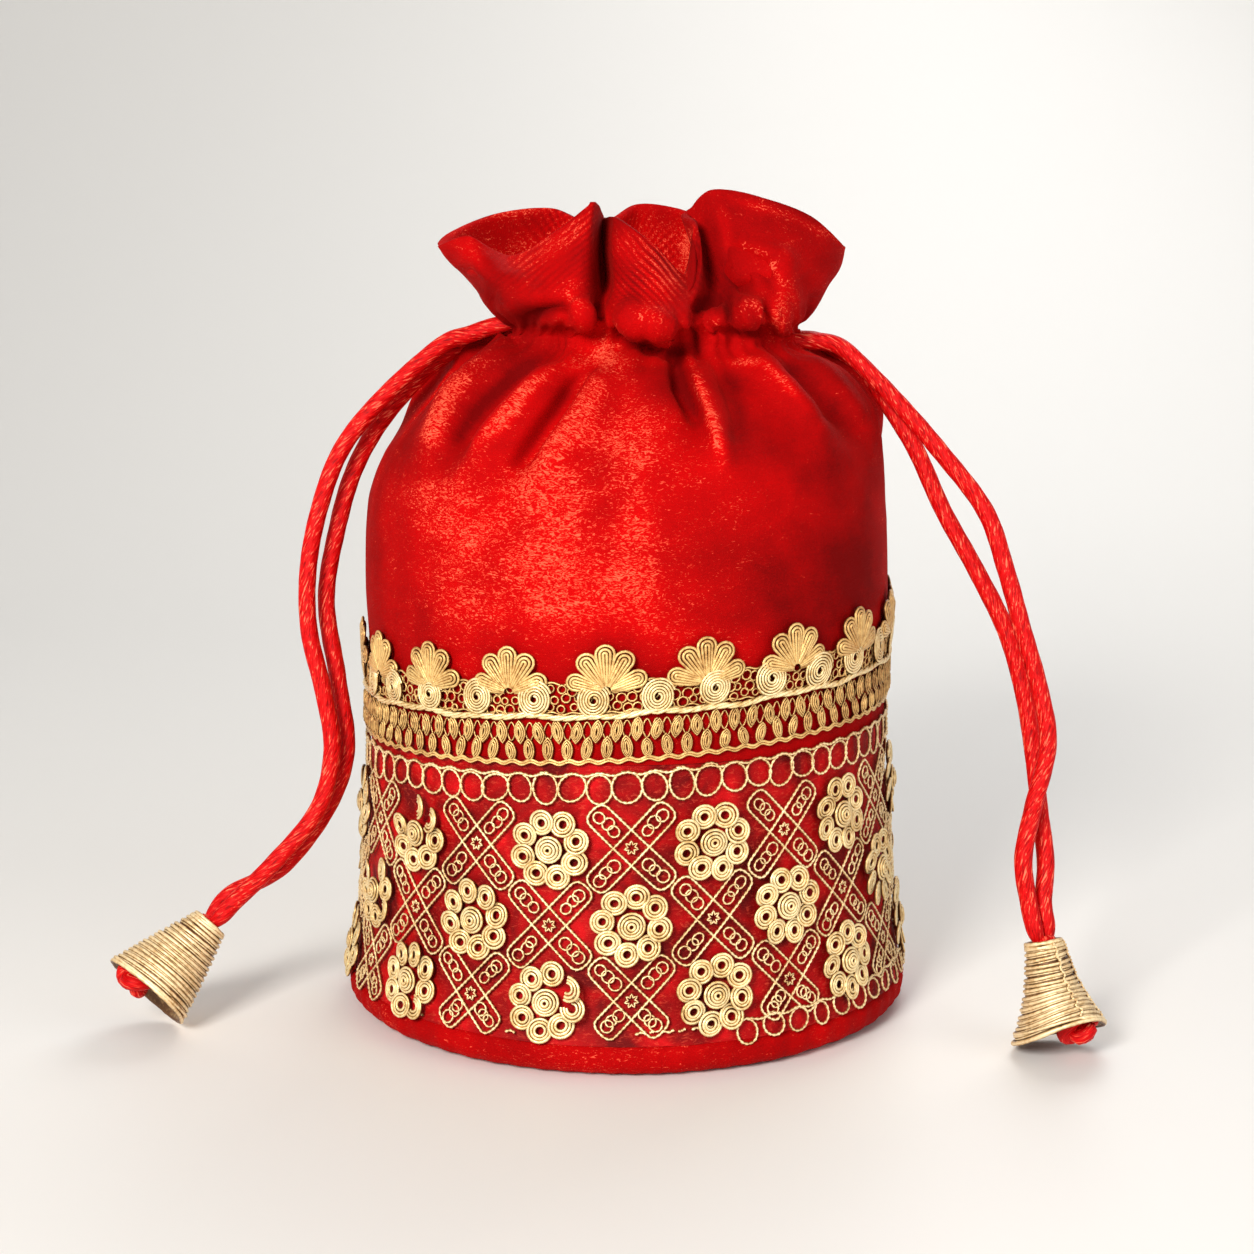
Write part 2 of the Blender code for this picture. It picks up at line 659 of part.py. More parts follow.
def cross_lattice(finish):
    """Gold crosses between the flowers, joined at their tips into one net."""
    step = 360.0 / FLOWER_COUNT
    half = 0.5 * CROSS_WIDTH * math.sqrt(2.0)
    tip = 0.5 * CROSS_WAIST / math.sqrt(2.0)
    outline = []
    quads = []

    def add(angle, height, across, up):
        outline.append((angle, height, across, up))
        return len(outline) - 1

    centres = {}
    for row, height in enumerate(ROW_HEIGHTS):
        for index in range(FLOWER_COUNT):
            angle = flower_angle(row, index) + 0.5 * step
            corners = [add(angle, height, across, up) for across, up in
                       ((0, half), (half, 0), (0, -half), (-half, 0))]
            centres[row, index] = (angle, corners)
            quads.append(tuple(corners))

    def arm(corner_a, corner_b, angle, height, across, up):
        """Strip from two corners of a cross to its narrow tip."""
        sign = 1.0 if across * up > 0 else -1.0
        a = add(angle, height, across - tip, up + sign * tip)
        b = add(angle, height, across + tip, up - sign * tip)
        if corner_a is None:
            return a, b
        quads.append((corner_a, corner_b, b, a))
        return a, b

    reach = 0.5 * math.radians(0.5 * step) * body_radius(ROW_HEIGHTS[1])
    gap_up = 0.5 * (ROW_HEIGHTS[0] - ROW_HEIGHTS[1])
    gap_down = 0.5 * (ROW_HEIGHTS[1] - ROW_HEIGHTS[2])
    rises = (gap_up, gap_up, gap_down)
    drops = (gap_up, gap_down, gap_down)
    last = len(ROW_HEIGHTS) - 1
    for (row, index), (angle, (top, right, low, left)) in centres.items():
        height = ROW_HEIGHTS[row]
        if row == 0:
            arm(left, top, angle, height, -reach, rises[row])
            arm(top, right, angle, height, reach, rises[row])
        if row == last:
            across = LOWEST_ARM_SHARE * reach
            drop = LOWEST_ARM_SHARE * drops[row]
            arm(low, left, angle, height, -across, -drop)
            arm(right, low, angle, height, across, -drop)
            continue
        below = row + 1
        shift = 0 if row % 2 == 0 else 1
        for side, mate in ((1, (index + shift) % FLOWER_COUNT),
                           (-1, (index + shift - 1) % FLOWER_COUNT)):
            mate_top, mate_right, _, mate_left = centres[below, mate][1]
            a, b = arm(None, None, angle, height, side * reach, -drops[row])
            if side > 0:
                quads.append((right, low, a, b))
                quads.append((b, a, mate_left, mate_top))
            else:
                quads.append((low, left, a, b))
                quads.append((b, a, mate_top, mate_right))

    points = []
    for lift in (0.0, CROSS_THICKNESS):
        points += [on_panel(*place, lift) for place in outline]
    count = len(outline)
    faces = []
    edges = {}
    for quad in quads:
        faces.append(quad)
        faces.append(tuple(corner + count for corner in reversed(quad)))
        for start, end in zip(quad, quad[1:] + quad[:1]):
            edges[frozenset((start, end))] = edges.get(frozenset((start, end)), 0) + 1
    for edge, uses in edges.items():
        if uses == 1:
            start, end = tuple(edge)
            faces.append((start, end, end + count, start + count))
    return solid("cross_lattice", points, faces, finish, smooth=False)


def axis_frame(axis):
    """Unit axis and two directions across it, the first one level."""
    down = Vector(axis).normalized()
    level = Vector((0, 0, 1)).cross(down).normalized()
    return down, level, down.cross(level).normalized()


def rings_along(top, axis, outline, sides):
    """Rings round a slanted axis, from (distance from the top, radius)."""
    down, level, other = axis_frame(axis)
    points = []
    for along, radius in outline:
        for side in range(sides):
            turn = 2.0 * math.pi * side / sides
            points.append(Vector(top) + down * along
                          + (level * math.cos(turn) + other * math.sin(turn)) * radius)
    return points


CONE_SLOPE = (CONE_MOUTH_RADIUS - CONE_WALL - CONE_HOLE_RADIUS) / CONE_LENGTH


def cone_outer(along):
    return CONE_TOP_RADIUS + (CONE_MOUTH_RADIUS - CONE_TOP_RADIUS) * along / CONE_LENGTH


def tassel_cone(name, top, axis, finish):
    """Hollow bell wound from gold thread, with one ridge for two turns."""
    outline = [(0.0, CONE_HOLE_RADIUS)]
    for turn in range(CONE_TURNS):
        for share, depth in ((0.0, CONE_TURN_DEPTH), (0.5, 0.0)):
            along = CONE_LENGTH * (turn + share) / CONE_TURNS
            outline.append((along, cone_outer(along) - depth))
    outline.append((CONE_LENGTH, CONE_MOUTH_RADIUS))
    outline.append((CONE_LENGTH, CONE_MOUTH_RADIUS - CONE_WALL))
    points = rings_along(top, axis, outline, CONE_SIDES)
    faces = ring_faces(len(outline), CONE_SIDES)
    return solid(name, points, faces, finish)


def cord_knot(name, top, axis, finish):
    """Knot that holds the cone: stem through its hole, ball and cut tail."""
    slant = math.sqrt(1.0 + CONE_SLOPE ** 2)
    seat = ((KNOT_RADIUS + GAP) * slant - CONE_HOLE_RADIUS) / CONE_SLOPE
    outline = [(0.0, KNOT_STEM_RADIUS), (seat - 0.95 * KNOT_RADIUS, KNOT_STEM_RADIUS)]
    for bend in KNOT_BENDS:
        turn = math.radians(bend)
        outline.append((seat + KNOT_RADIUS * math.sin(turn), KNOT_RADIUS * math.cos(turn)))
    outline.append((seat + 0.9 * KNOT_RADIUS, KNOT_TAIL_RADIUS))
    end = CONE_LENGTH + KNOT_TAIL_PAST_MOUTH
    outline.append((end - 0.5 * KNOT_TAIL_RADIUS, KNOT_TAIL_RADIUS))
    outline.append((end, KNOT_TAIL_TIP_SHARE * KNOT_TAIL_RADIUS))
    points = rings_along(top, axis, outline, KNOT_SIDES)
    faces = ring_faces(len(outline), KNOT_SIDES, closed_section=False, caps=True)
    return solid(name, points, faces, finish)


def cord_points(curve, step, both_ends):
    """Points along a fine line, closer together where the cord turns off."""
    runs = np.linalg.norm(np.diff(curve, axis=0), axis=1)
    lengths = np.concatenate([[0.0], np.cumsum(runs)])
    total = lengths[-1]
    near = CORD_DIAMETER * np.array(CORD_END_STEPS)
    first = near[-1]
    last = total - first if both_ends else total
    count = round((last - first) / (step * CORD_DIAMETER)) + 1
    marks = [*near[:-1], *np.linspace(first, last, count)]
    if both_ends:
        marks += list(total - near[-2::-1])
    return np.column_stack([np.interp(marks, lengths, curve[:, axis]) for axis in range(3)])


def cord(name, curve, finish, step=CORD_STEP, both_ends=False):
    """Round cord along a smooth curve."""
    points = cord_points(curve, step, both_ends)
    data = bpy.data.curves.new(name, "CURVE")
    data.dimensions = "3D"
    data.bevel_depth = 0.5 * CORD_DIAMETER
    data.bevel_resolution = 2
    data.use_fill_caps = True
    line = data.splines.new("POLY")
    line.points.add(len(points) - 1)
    for place, point in zip(line.points, points):
        place.co = (*point, 1.0)
    return add_object(name, data, finish)


def channel_loop(name, side, level, finish):
    """Part of a cord inside the channel, open where its ends come out."""
    start = 90.0 * side + LOOP_OPEN_ANGLE
    angles = np.linspace(start, start + 360.0 - 2.0 * LOOP_OPEN_ANGLE, 90)
    curve = neck_ellipse(angles, NECK_HEIGHT + level, LOOP_INSET)
    return cord(name, curve, finish, LOOP_STEP, both_ends=True)


def channel_exit(hand, way, height):
    """Bend from the loop's end in the channel to straight out of the neck."""
    spare = math.degrees(GAP / (NECK_HALF_DEPTH - LOOP_INSET))
    angle = 90.0 * hand - way * hand * (LOOP_OPEN_ANGLE - spare)
    start = Vector(neck_ellipse(np.array([angle]), height, LOOP_INSET)[0])
    turn = math.radians(angle)
    run_x = hand * abs((NECK_HALF_WIDTH - LOOP_INSET) * math.cos(turn))
    run_y = way * abs((NECK_HALF_DEPTH - LOOP_INSET) * math.sin(turn))
    first = math.atan2(abs(run_y), abs(run_x))
    bend = []
    for step in range(5):
        heading = first * (1.0 - step / 4)
        across = CORD_BEND * (math.sin(first) - math.sin(heading))
        along = CORD_BEND * (math.cos(heading) - math.cos(first))
        bend.append(start + Vector((hand * across, way * along, 0.0)))
    return bend


def free_cord(name, start, route, top, axis, side, finish):
    """Free end of a cord, from the channel to the top of its cone."""
    down, level, _ = axis_frame(axis)
    beside = level * side * 0.5 * (CORD_DIAMETER + GAP)
    end = Vector(top) - down * GAP + beside
    chosen = start + [Vector((x * FRILL_UNIT, y * FRILL_UNIT, z * ROUTE_UNIT))
                      for x, y, z in route]
    chosen += [end - down * 2.0 * CORD_DIAMETER, end]
    return cord(name, spline(chosen, 12), finish)


def build():
    clear_scene()
    velvet = material("red_velvet", (0.62, 0.0, 0.012), 0.75)
    satin = material("red_satin", (0.55, 0.0, 0.012), 0.45)
    rattail = material("red_rattail_cord", (0.68, 0.012, 0.012), 0.40)
    gold = material("gold_thread", (0.72, 0.52, 0.24), 0.38, 0.85)
    cotton = material("lining_cotton", (0.50, 0.01, 0.015), 0.90)
    card = material("grey_card", (0.42, 0.38, 0.33), 0.95)

    velvet_top(velvet)
    embroidered_panel(satin)
    base_cover(velvet)
    base_card(card)
    lining(cotton)
    scallop_lace(gold)
    leaf_lace(gold)
    rosettes(gold)
    cross_lattice(gold)

    channel_loop("left_cord_loop", -1, CORD_RISE, rattail)
    channel_loop("right_cord_loop", 1, -CORD_RISE, rattail)
    ends = (
        ("left", -1, LEFT_CONE_TOP, LEFT_CONE_AXIS,
         (("front", 1, LEFT_FRONT_ROUTE, 1), ("back", -1, LEFT_BACK_ROUTE, -1))),
        ("right", 1, RIGHT_CONE_TOP, RIGHT_CONE_AXIS,
         (("front", 1, RIGHT_FRONT_ROUTE, -1), ("back", -1, RIGHT_BACK_ROUTE, 1))),
    )
    for hand, way, top, axis, cords in ends:
        height = NECK_HEIGHT - way * CORD_RISE
        for place, front, route, side in cords:
            start = channel_exit(way, front, height)
            free_cord(f"{hand}_cord_{place}", start, route, top, axis, side, rattail)
        tassel_cone(f"{hand}_tassel_cone", top, axis, gold)
        cord_knot(f"{hand}_knot", top, axis, rattail)


build()
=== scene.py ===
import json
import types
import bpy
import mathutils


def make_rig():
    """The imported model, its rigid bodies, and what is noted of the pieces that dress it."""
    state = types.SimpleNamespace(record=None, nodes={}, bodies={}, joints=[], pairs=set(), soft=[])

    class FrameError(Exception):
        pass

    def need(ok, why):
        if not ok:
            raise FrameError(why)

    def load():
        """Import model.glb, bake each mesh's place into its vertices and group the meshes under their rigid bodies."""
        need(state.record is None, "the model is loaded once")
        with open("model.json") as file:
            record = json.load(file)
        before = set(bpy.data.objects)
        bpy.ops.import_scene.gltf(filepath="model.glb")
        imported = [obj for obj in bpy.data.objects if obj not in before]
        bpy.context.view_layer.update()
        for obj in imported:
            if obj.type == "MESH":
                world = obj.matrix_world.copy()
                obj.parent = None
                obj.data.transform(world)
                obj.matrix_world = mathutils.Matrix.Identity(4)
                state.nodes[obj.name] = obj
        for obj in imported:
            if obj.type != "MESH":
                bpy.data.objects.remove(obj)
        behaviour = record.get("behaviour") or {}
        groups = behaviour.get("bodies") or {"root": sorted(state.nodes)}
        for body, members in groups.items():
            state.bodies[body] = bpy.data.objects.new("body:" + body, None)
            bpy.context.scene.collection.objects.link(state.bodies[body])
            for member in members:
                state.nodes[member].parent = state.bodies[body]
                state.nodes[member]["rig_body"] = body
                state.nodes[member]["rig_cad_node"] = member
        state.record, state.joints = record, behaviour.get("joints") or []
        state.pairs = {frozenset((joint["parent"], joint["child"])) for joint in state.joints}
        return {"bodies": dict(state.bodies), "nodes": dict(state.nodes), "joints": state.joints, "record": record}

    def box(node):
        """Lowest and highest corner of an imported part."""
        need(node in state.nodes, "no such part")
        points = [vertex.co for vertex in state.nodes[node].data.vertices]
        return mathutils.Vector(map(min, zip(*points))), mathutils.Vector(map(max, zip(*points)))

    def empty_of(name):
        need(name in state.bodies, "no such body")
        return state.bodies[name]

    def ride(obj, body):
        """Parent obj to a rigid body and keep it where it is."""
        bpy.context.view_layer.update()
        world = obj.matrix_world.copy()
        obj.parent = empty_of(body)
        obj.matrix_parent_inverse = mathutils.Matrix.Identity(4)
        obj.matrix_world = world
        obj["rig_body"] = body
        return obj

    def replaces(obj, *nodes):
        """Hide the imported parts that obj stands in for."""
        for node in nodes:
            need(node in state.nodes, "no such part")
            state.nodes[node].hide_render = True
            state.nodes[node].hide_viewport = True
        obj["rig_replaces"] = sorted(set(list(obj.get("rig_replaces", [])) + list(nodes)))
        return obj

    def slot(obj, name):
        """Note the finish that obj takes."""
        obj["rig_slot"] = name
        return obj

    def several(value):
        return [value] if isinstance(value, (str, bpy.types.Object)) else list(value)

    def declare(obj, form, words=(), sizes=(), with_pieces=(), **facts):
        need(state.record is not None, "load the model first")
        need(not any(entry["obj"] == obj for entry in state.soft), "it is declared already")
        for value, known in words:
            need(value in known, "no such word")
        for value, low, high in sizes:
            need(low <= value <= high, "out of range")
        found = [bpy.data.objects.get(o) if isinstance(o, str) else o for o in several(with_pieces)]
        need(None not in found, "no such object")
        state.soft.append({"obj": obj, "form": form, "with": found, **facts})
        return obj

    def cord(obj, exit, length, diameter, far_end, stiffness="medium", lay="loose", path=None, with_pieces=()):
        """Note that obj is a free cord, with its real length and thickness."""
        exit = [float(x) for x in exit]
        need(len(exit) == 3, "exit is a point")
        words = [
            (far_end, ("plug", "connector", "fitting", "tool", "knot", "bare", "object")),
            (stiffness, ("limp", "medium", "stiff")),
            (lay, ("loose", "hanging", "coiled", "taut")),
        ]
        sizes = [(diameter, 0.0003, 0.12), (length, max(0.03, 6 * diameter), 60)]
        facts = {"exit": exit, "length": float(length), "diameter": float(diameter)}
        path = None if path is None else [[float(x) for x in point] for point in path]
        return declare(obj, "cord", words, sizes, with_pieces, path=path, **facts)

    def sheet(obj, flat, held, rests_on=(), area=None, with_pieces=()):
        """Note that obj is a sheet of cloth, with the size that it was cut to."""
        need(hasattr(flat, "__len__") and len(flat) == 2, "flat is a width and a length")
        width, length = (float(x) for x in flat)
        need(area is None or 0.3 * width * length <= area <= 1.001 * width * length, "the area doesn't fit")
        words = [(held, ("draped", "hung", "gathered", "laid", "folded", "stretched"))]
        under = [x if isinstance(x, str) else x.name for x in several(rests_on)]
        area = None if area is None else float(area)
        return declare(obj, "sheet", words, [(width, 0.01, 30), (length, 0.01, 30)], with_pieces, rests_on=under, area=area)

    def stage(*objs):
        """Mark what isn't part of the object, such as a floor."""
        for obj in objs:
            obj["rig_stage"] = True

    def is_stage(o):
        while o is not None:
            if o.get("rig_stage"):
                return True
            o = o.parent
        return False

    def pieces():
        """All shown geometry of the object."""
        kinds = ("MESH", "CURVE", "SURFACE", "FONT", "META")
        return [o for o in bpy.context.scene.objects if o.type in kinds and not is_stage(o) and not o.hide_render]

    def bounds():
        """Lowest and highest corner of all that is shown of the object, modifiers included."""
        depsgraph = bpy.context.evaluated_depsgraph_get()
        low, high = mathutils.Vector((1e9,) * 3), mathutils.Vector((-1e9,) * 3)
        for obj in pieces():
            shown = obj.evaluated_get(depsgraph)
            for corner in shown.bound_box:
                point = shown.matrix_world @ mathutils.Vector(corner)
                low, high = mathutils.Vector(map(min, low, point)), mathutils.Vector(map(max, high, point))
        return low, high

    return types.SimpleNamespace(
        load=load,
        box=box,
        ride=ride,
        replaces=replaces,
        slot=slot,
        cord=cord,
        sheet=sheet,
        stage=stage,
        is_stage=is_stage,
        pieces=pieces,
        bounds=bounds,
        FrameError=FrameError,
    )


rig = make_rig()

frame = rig.load()
cad_low, cad_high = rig.bounds()

import json
import math

import bpy
import numpy as np
from mathutils import Vector

# Sizes in metres. The bag's axis is Z, its front looks along -Y, and angles
# round it are 0 at the front and grow towards +X.
MM = 0.001
BODY = "root"

BASE_RADIUS = 0.0750
BASE_FLAT_RADIUS = 0.0690
BASE_EDGE_HEIGHT = 0.0080
WAIST_RADIUS = 0.0684
SHOULDER_RADIUS = 0.0692
NECK_HALF_WIDTH = 0.0365
NECK_HALF_DEPTH = 0.0310
NECK_HEIGHT = 0.1780
NECK_SHIFT = 0.0070
SEAM_HEIGHT = 0.0775
VELVET_THICKNESS = 0.0012
FRILL_THICKNESS = 0.0020
PANEL_THICKNESS = 0.0014
CORD_DIAMETER = 0.0046
CORD_GAP = 0.0005
CORD_BEND = 0.0092
NECK_PLEAT = 0.0014
LOOP_OPEN_ANGLE = 25.0
TRIM_LIFT = 0.0004
LACE_TILT = 0.0045
ROW_TILT = 0.0030
FLOWER_COUNT = 11
ROW_HEIGHTS = (0.0573, 0.0383, 0.0196)
FRONT_FLOWER_ANGLE = -15.5
CONE_LENGTH = 0.0245
CONE_TOP_RADIUS = 0.0050
CONE_MOUTH_RADIUS = 0.0125
LEFT_CONE_TOP = (-0.1086, -0.0300, 0.0262)
LEFT_CONE_AXIS = (-0.644, -0.365, -0.671)
RIGHT_CONE_TOP = (0.1051, -0.0499, 0.0276)
RIGHT_CONE_AXIS = (0.170, -0.250, -0.953)

BODY_PROFILE = (
    (BASE_EDGE_HEIGHT, BASE_RADIUS),
    (0.0240, 0.5 * (BASE_RADIUS + SHOULDER_RADIUS)),
    (0.0570, SHOULDER_RADIUS + 0.0004),
    (0.0900, WAIST_RADIUS),
    (0.1120, SHOULDER_RADIUS),
    (0.1300, SHOULDER_RADIUS - 0.0007),
    (0.1440, SHOULDER_RADIUS - 0.0030),
    (0.1550, SHOULDER_RADIUS - 0.0078),
    (0.1640, SHOULDER_RADIUS - 0.0150),
    (0.1700, NECK_HALF_WIDTH + 0.0095),
    (0.1732, NECK_HALF_WIDTH + 0.0030),
    (0.1752, NECK_HALF_WIDTH + 0.0004),
    (NECK_HEIGHT, NECK_HALF_WIDTH),
)
FRONT_GATHERS = (
    (-64, -53, 0.140, 7.0, 0.0024),
    (-45, -44, 0.146, 6.0, -0.0022),
    (-26, -37, 0.138, 6.0, 0.0030),
    (-17, -31, 0.132, 6.0, -0.0034),
    (-7, -24, 0.130, 5.5, 0.0022),
    (10, 15, 0.146, 5.5, -0.0052),
    (16, 23, 0.134, 5.5, 0.0036),
    (27, 36, 0.144, 7.0, -0.0024),
    (36, 51, 0.138, 6.0, 0.0026),
    (50, 63, 0.146, 7.0, -0.0020),
    (64, 75, 0.142, 7.0, 0.0020),
)
BACK_GATHER_COUNT = 6
BACK_GATHER_STEP = 32.0
BACK_GATHER_FIRST = 96.0
BACK_GATHER_DEPTH = 0.0030
GATHER_DEPTH = 0.0052
GATHER_FULL_HEIGHT = 0.165

PUFF_LINE = (
    (-36, -2, 184), (-34, -14, 184), (-27, -25, 184), (-20, -32, 184),
    (-11.5, -37, 183), (-6, -30, 184), (-2, -37, 183.5), (7, -42, 182),
    (15, -37, 182), (18, -29, 184), (24, -31, 183), (32, -30, 184.5),
    (41, -22, 183.5), (47, -12, 184), (49.5, 0, 184), (45, 13, 184),
    (37, 23, 184), (27, 26, 184), (17, 32, 184), (6, 33, 184),
    (-5, 29, 184), (-15, 29, 184), (-25, 22, 184), (-33, 11, 184),
)
MIDDLE_LINE = (
    (-42, -5, 191), (-37, -20, 191), (-29, -25, 191), (-20, -31, 191),
    (-10, -32, 192), (-6, -14, 191), (-2, -32, 191), (7, -38, 188.5),
    (15, -34, 187), (19.5, -25, 191), (20.5, -14, 192), (27, -21, 192),
    (38, -24, 192), (47, -14, 191), (53, 0, 190), (47, 15, 191),
    (37, 25, 191), (27, 22, 191), (16, 32, 191), (4, 33, 191),
    (-7, 24, 191), (-18, 29, 191), (-30, 22, 191), (-39, 10, 191),
)
RIM_LINE = (
    (-49, -6, 200), (-40, -19, 202.5), (-29.5, -13, 197.5),
    (-18, -21, 204), (-8, -24, 211), (-6.5, -6, 207), (-3.2, -26, 207),
    (7, -31, 200.5), (15.5, -24, 193), (18.5, -14, 205), (16, -3, 208),
    (21.5, -5, 214), (34.5, -13, 212), (48, -10, 207), (57, 0, 199),
    (50, 14, 204), (38, 25, 208), (26, 20, 205), (14, 32, 209),
    (2, 33, 210), (-8, 22, 205), (-20, 29, 209), (-34, 22, 208),
    (-45, 8, 204),
)
LEFT_TIP = 0
RIGHT_TIP = 14

LEFT_FRONT_ROUTE = (
    (-34.5, -5.2, 179.5),
    (-41.0, -4.9, 177.3), (-48.5, -5.9, 174.3), (-63.5, -8.9, 161.1),
    (-74.1, -11.4, 147.9), (-79.9, -13.9, 132.5), (-82.8, -16.2, 117.1),
    (-82.6, -18.5, 101.7), (-79.0, -20.9, 86.3), (-76.7, -23.2, 70.9),
    (-80.6, -25.6, 55.4), (-93.0, -29.3, 40.8),
)
LEFT_BACK_ROUTE = (
    (-34.8, 4.9, 178.6),
    (-42.0, 2.2, 174.4), (-50.4, 0.6, 169.7), (-62.7, -2.3, 156.9),
    (-71.0, -5.0, 143.2), (-75.8, -7.6, 127.7), (-78.9, -10.8, 108.3),
    (-75.8, -14.3, 87.6), (-73.7, -17.2, 69.5), (-78.7, -19.8, 54.5),
    (-90.2, -23.3, 39.8),
)
RIGHT_FRONT_ROUTE = (
    (48.5, -5.3, 175.6),
    (55.0, -5.6, 174.4), (61.6, -8.3, 168.8), (71.2, -12.3, 158.8),
    (80.3, -16.3, 148.4), (91.7, -21.8, 133.5), (96.8, -26.4, 118.7),
    (100.8, -30.9, 103.9), (104.8, -35.4, 89.3), (106.6, -39.4, 75.9),
    (102.4, -44.3, 60.2), (99.8, -48.0, 48.2),
)
RIGHT_BACK_ROUTE = (
    (49.0, 4.8, 175.4), (54.5, 1.8, 173.4), (61.5, -1.1, 168.8),
    (69.2, -5.0, 157.6), (75.5, -8.8, 147.1), (82.0, -13.7, 132.5),
    (90.2, -19.0, 117.6), (97.5, -24.2, 102.7), (101.6, -29.0, 88.0),
    (103.8, -33.7, 73.3), (105.2, -38.5, 58.2), (106.4, -42.4, 46.5),
)


def smoothstep(low, high, value):
    share = np.clip((value - low) / (high - low), 0.0, 1.0)
    return share * share * (3.0 - 2.0 * share)


def unit(vectors):
    return vectors / (np.linalg.norm(vectors, axis=-1, keepdims=True) + 1e-12)


def run_lengths(points):
    """Distance along a line of points, from its start to each of them."""
    runs = np.linalg.norm(np.diff(points, axis=0), axis=-1)
    return np.concatenate([[0.0], np.cumsum(runs)])


def at_marks(points, lengths, marks):
    """Points of a line at given distances along it."""
    return np.stack([np.interp(marks, lengths, points[:, axis]) for axis in range(3)], axis=1)


def even_angles(count):
    """Angles in degrees that share a whole turn evenly."""
    return np.arange(count) * 360.0 / count


def ellipse(angles, half_width, half_depth, height, shift=0.0):
    """Level ellipse round the bag's axis, at angles in degrees."""
    turn = np.radians(angles)
    return np.stack([shift + half_width * np.sin(turn), -half_depth * np.cos(turn),
                     np.full_like(turn, height)], axis=-1)


def spline(points, steps, closed=False):
    """Catmull-Rom points through the given ones, steps to each stretch."""
    points = np.asarray(points, dtype=float)
    if closed:
        padded = np.concatenate([points[-1:], points, points[:2]])
        stretches = len(points)
    else:
        before = 2.0 * points[:1] - points[1:2]
        past = 2.0 * points[-1:] - points[-2:-1]
        padded = np.concatenate([before, points, past])
        stretches = len(points) - 1
    t = (np.arange(steps) / steps).reshape(-1, *([1] * (points.ndim - 1)))
    made = []
    for index in range(stretches):
        a, b, c, d = padded[index:index + 4]
        made.append(0.5 * (2 * b + (c - a) * t + (2 * a - 5 * b + 4 * c - d) * t ** 2
                           + (3 * b - a - 3 * c + d) * t ** 3))
    if not closed:
        made.append(points[-1:])
    return np.concatenate(made)


# Camera at the photograph's viewing angle
CAMERA_PLACE = (0.0, -0.650, 0.215)
CAMERA_PITCH = 10.1
CAMERA_LENS = 70.9


def make_camera():
    data = bpy.data.cameras.new("camera")
    data.lens = CAMERA_LENS
    data.sensor_width = 36.0
    camera = bpy.data.objects.new("camera", data)
    camera.location = CAMERA_PLACE
    camera.rotation_euler = (math.radians(90.0 - CAMERA_PITCH), 0.0, 0.0)
    bpy.context.scene.collection.objects.link(camera)
    bpy.context.scene.camera = camera


make_camera()


# Surface of the bag
PROFILE_CURVE = spline(BODY_PROFILE, 8)


def body_radius(height):
    return np.interp(height, PROFILE_CURVE[:, 0], PROFILE_CURVE[:, 1])


def all_gathers():
    gathers = list(FRONT_GATHERS)
    for index in range(BACK_GATHER_COUNT):
        angle = BACK_GATHER_FIRST + index * BACK_GATHER_STEP
        low = 0.140 + 0.006 * (index % 2)
        gathers.append((angle, angle + 3.0, low, 7.0, BACK_GATHER_DEPTH))
        gathers.append((angle + 0.5 * BACK_GATHER_STEP, angle + 18.0, low, 7.0,
                        -BACK_GATHER_DEPTH))
    return gathers


GATHERS = all_gathers()


def gather_push(angle, height):
    push = np.zeros(np.broadcast(angle, height).shape)
    at_neck = NECK_PLEAT / GATHER_DEPTH
    for neck_angle, low_angle, low, width, depth in GATHERS:
        rise = smoothstep(low, GATHER_FULL_HEIGHT, height)
        along = np.clip((height - low) / (NECK_HEIGHT - low), 0.0, 1.0)
        centre = low_angle + (neck_angle - low_angle) * along
        away = (angle - centre + 180.0) % 360.0 - 180.0
        push = push + depth * rise * np.exp(-(away / width) ** 2)
    ease = 1.0 - (1.0 - at_neck) * smoothstep(0.167, NECK_HEIGHT - 0.004, height)
    return np.clip(push * ease, -GATHER_DEPTH, GATHER_DEPTH)


def bag_point(angle, height, lift=0.0, gathered=True):
    """Points on the bag's outer surface, moved outwards by lift."""
    angle, height, lift = np.broadcast_arrays(
        np.asarray(angle, float), np.asarray(height, float), np.asarray(lift, float))
    radius = body_radius(height) + lift
    if gathered:
        radius = radius + gather_push(angle, height)
    pull = smoothstep(0.130, NECK_HEIGHT, height)
    depth = 1.0 + (NECK_HALF_DEPTH / NECK_HALF_WIDTH - 1.0) * pull
    turn = np.radians(angle)
    return np.stack([NECK_SHIFT * pull + radius * np.sin(turn),
                     -radius * depth * np.cos(turn), height], axis=-1)


def neck_ellipse(angles, height, inset):
    return ellipse(angles, NECK_HALF_WIDTH - inset, NECK_HALF_DEPTH - inset, height, NECK_SHIFT)


# Noise from a fixed grid of seeded numbers, smooth in three directions
NOISE_CELLS = 32
NOISE_GRID = np.random.default_rng(7).uniform(-1.0, 1.0, (NOISE_CELLS,) * 3)


def noise(points, scale):
    """Smooth noise from -1 to 1 at points, with features of about scale."""
    place = np.asarray(points, float) / scale
    cell = np.floor(place).astype(int)
    part = place - cell
    part = part * part * (3.0 - 2.0 * part)
    total = 0.0
    for corner in np.ndindex(2, 2, 2):
        x, y, z = np.moveaxis((cell + corner) % NOISE_CELLS, -1, 0)
        total = total + NOISE_GRID[x, y, z] * np.where(corner, part, 1.0 - part).prod(axis=-1)
    return total


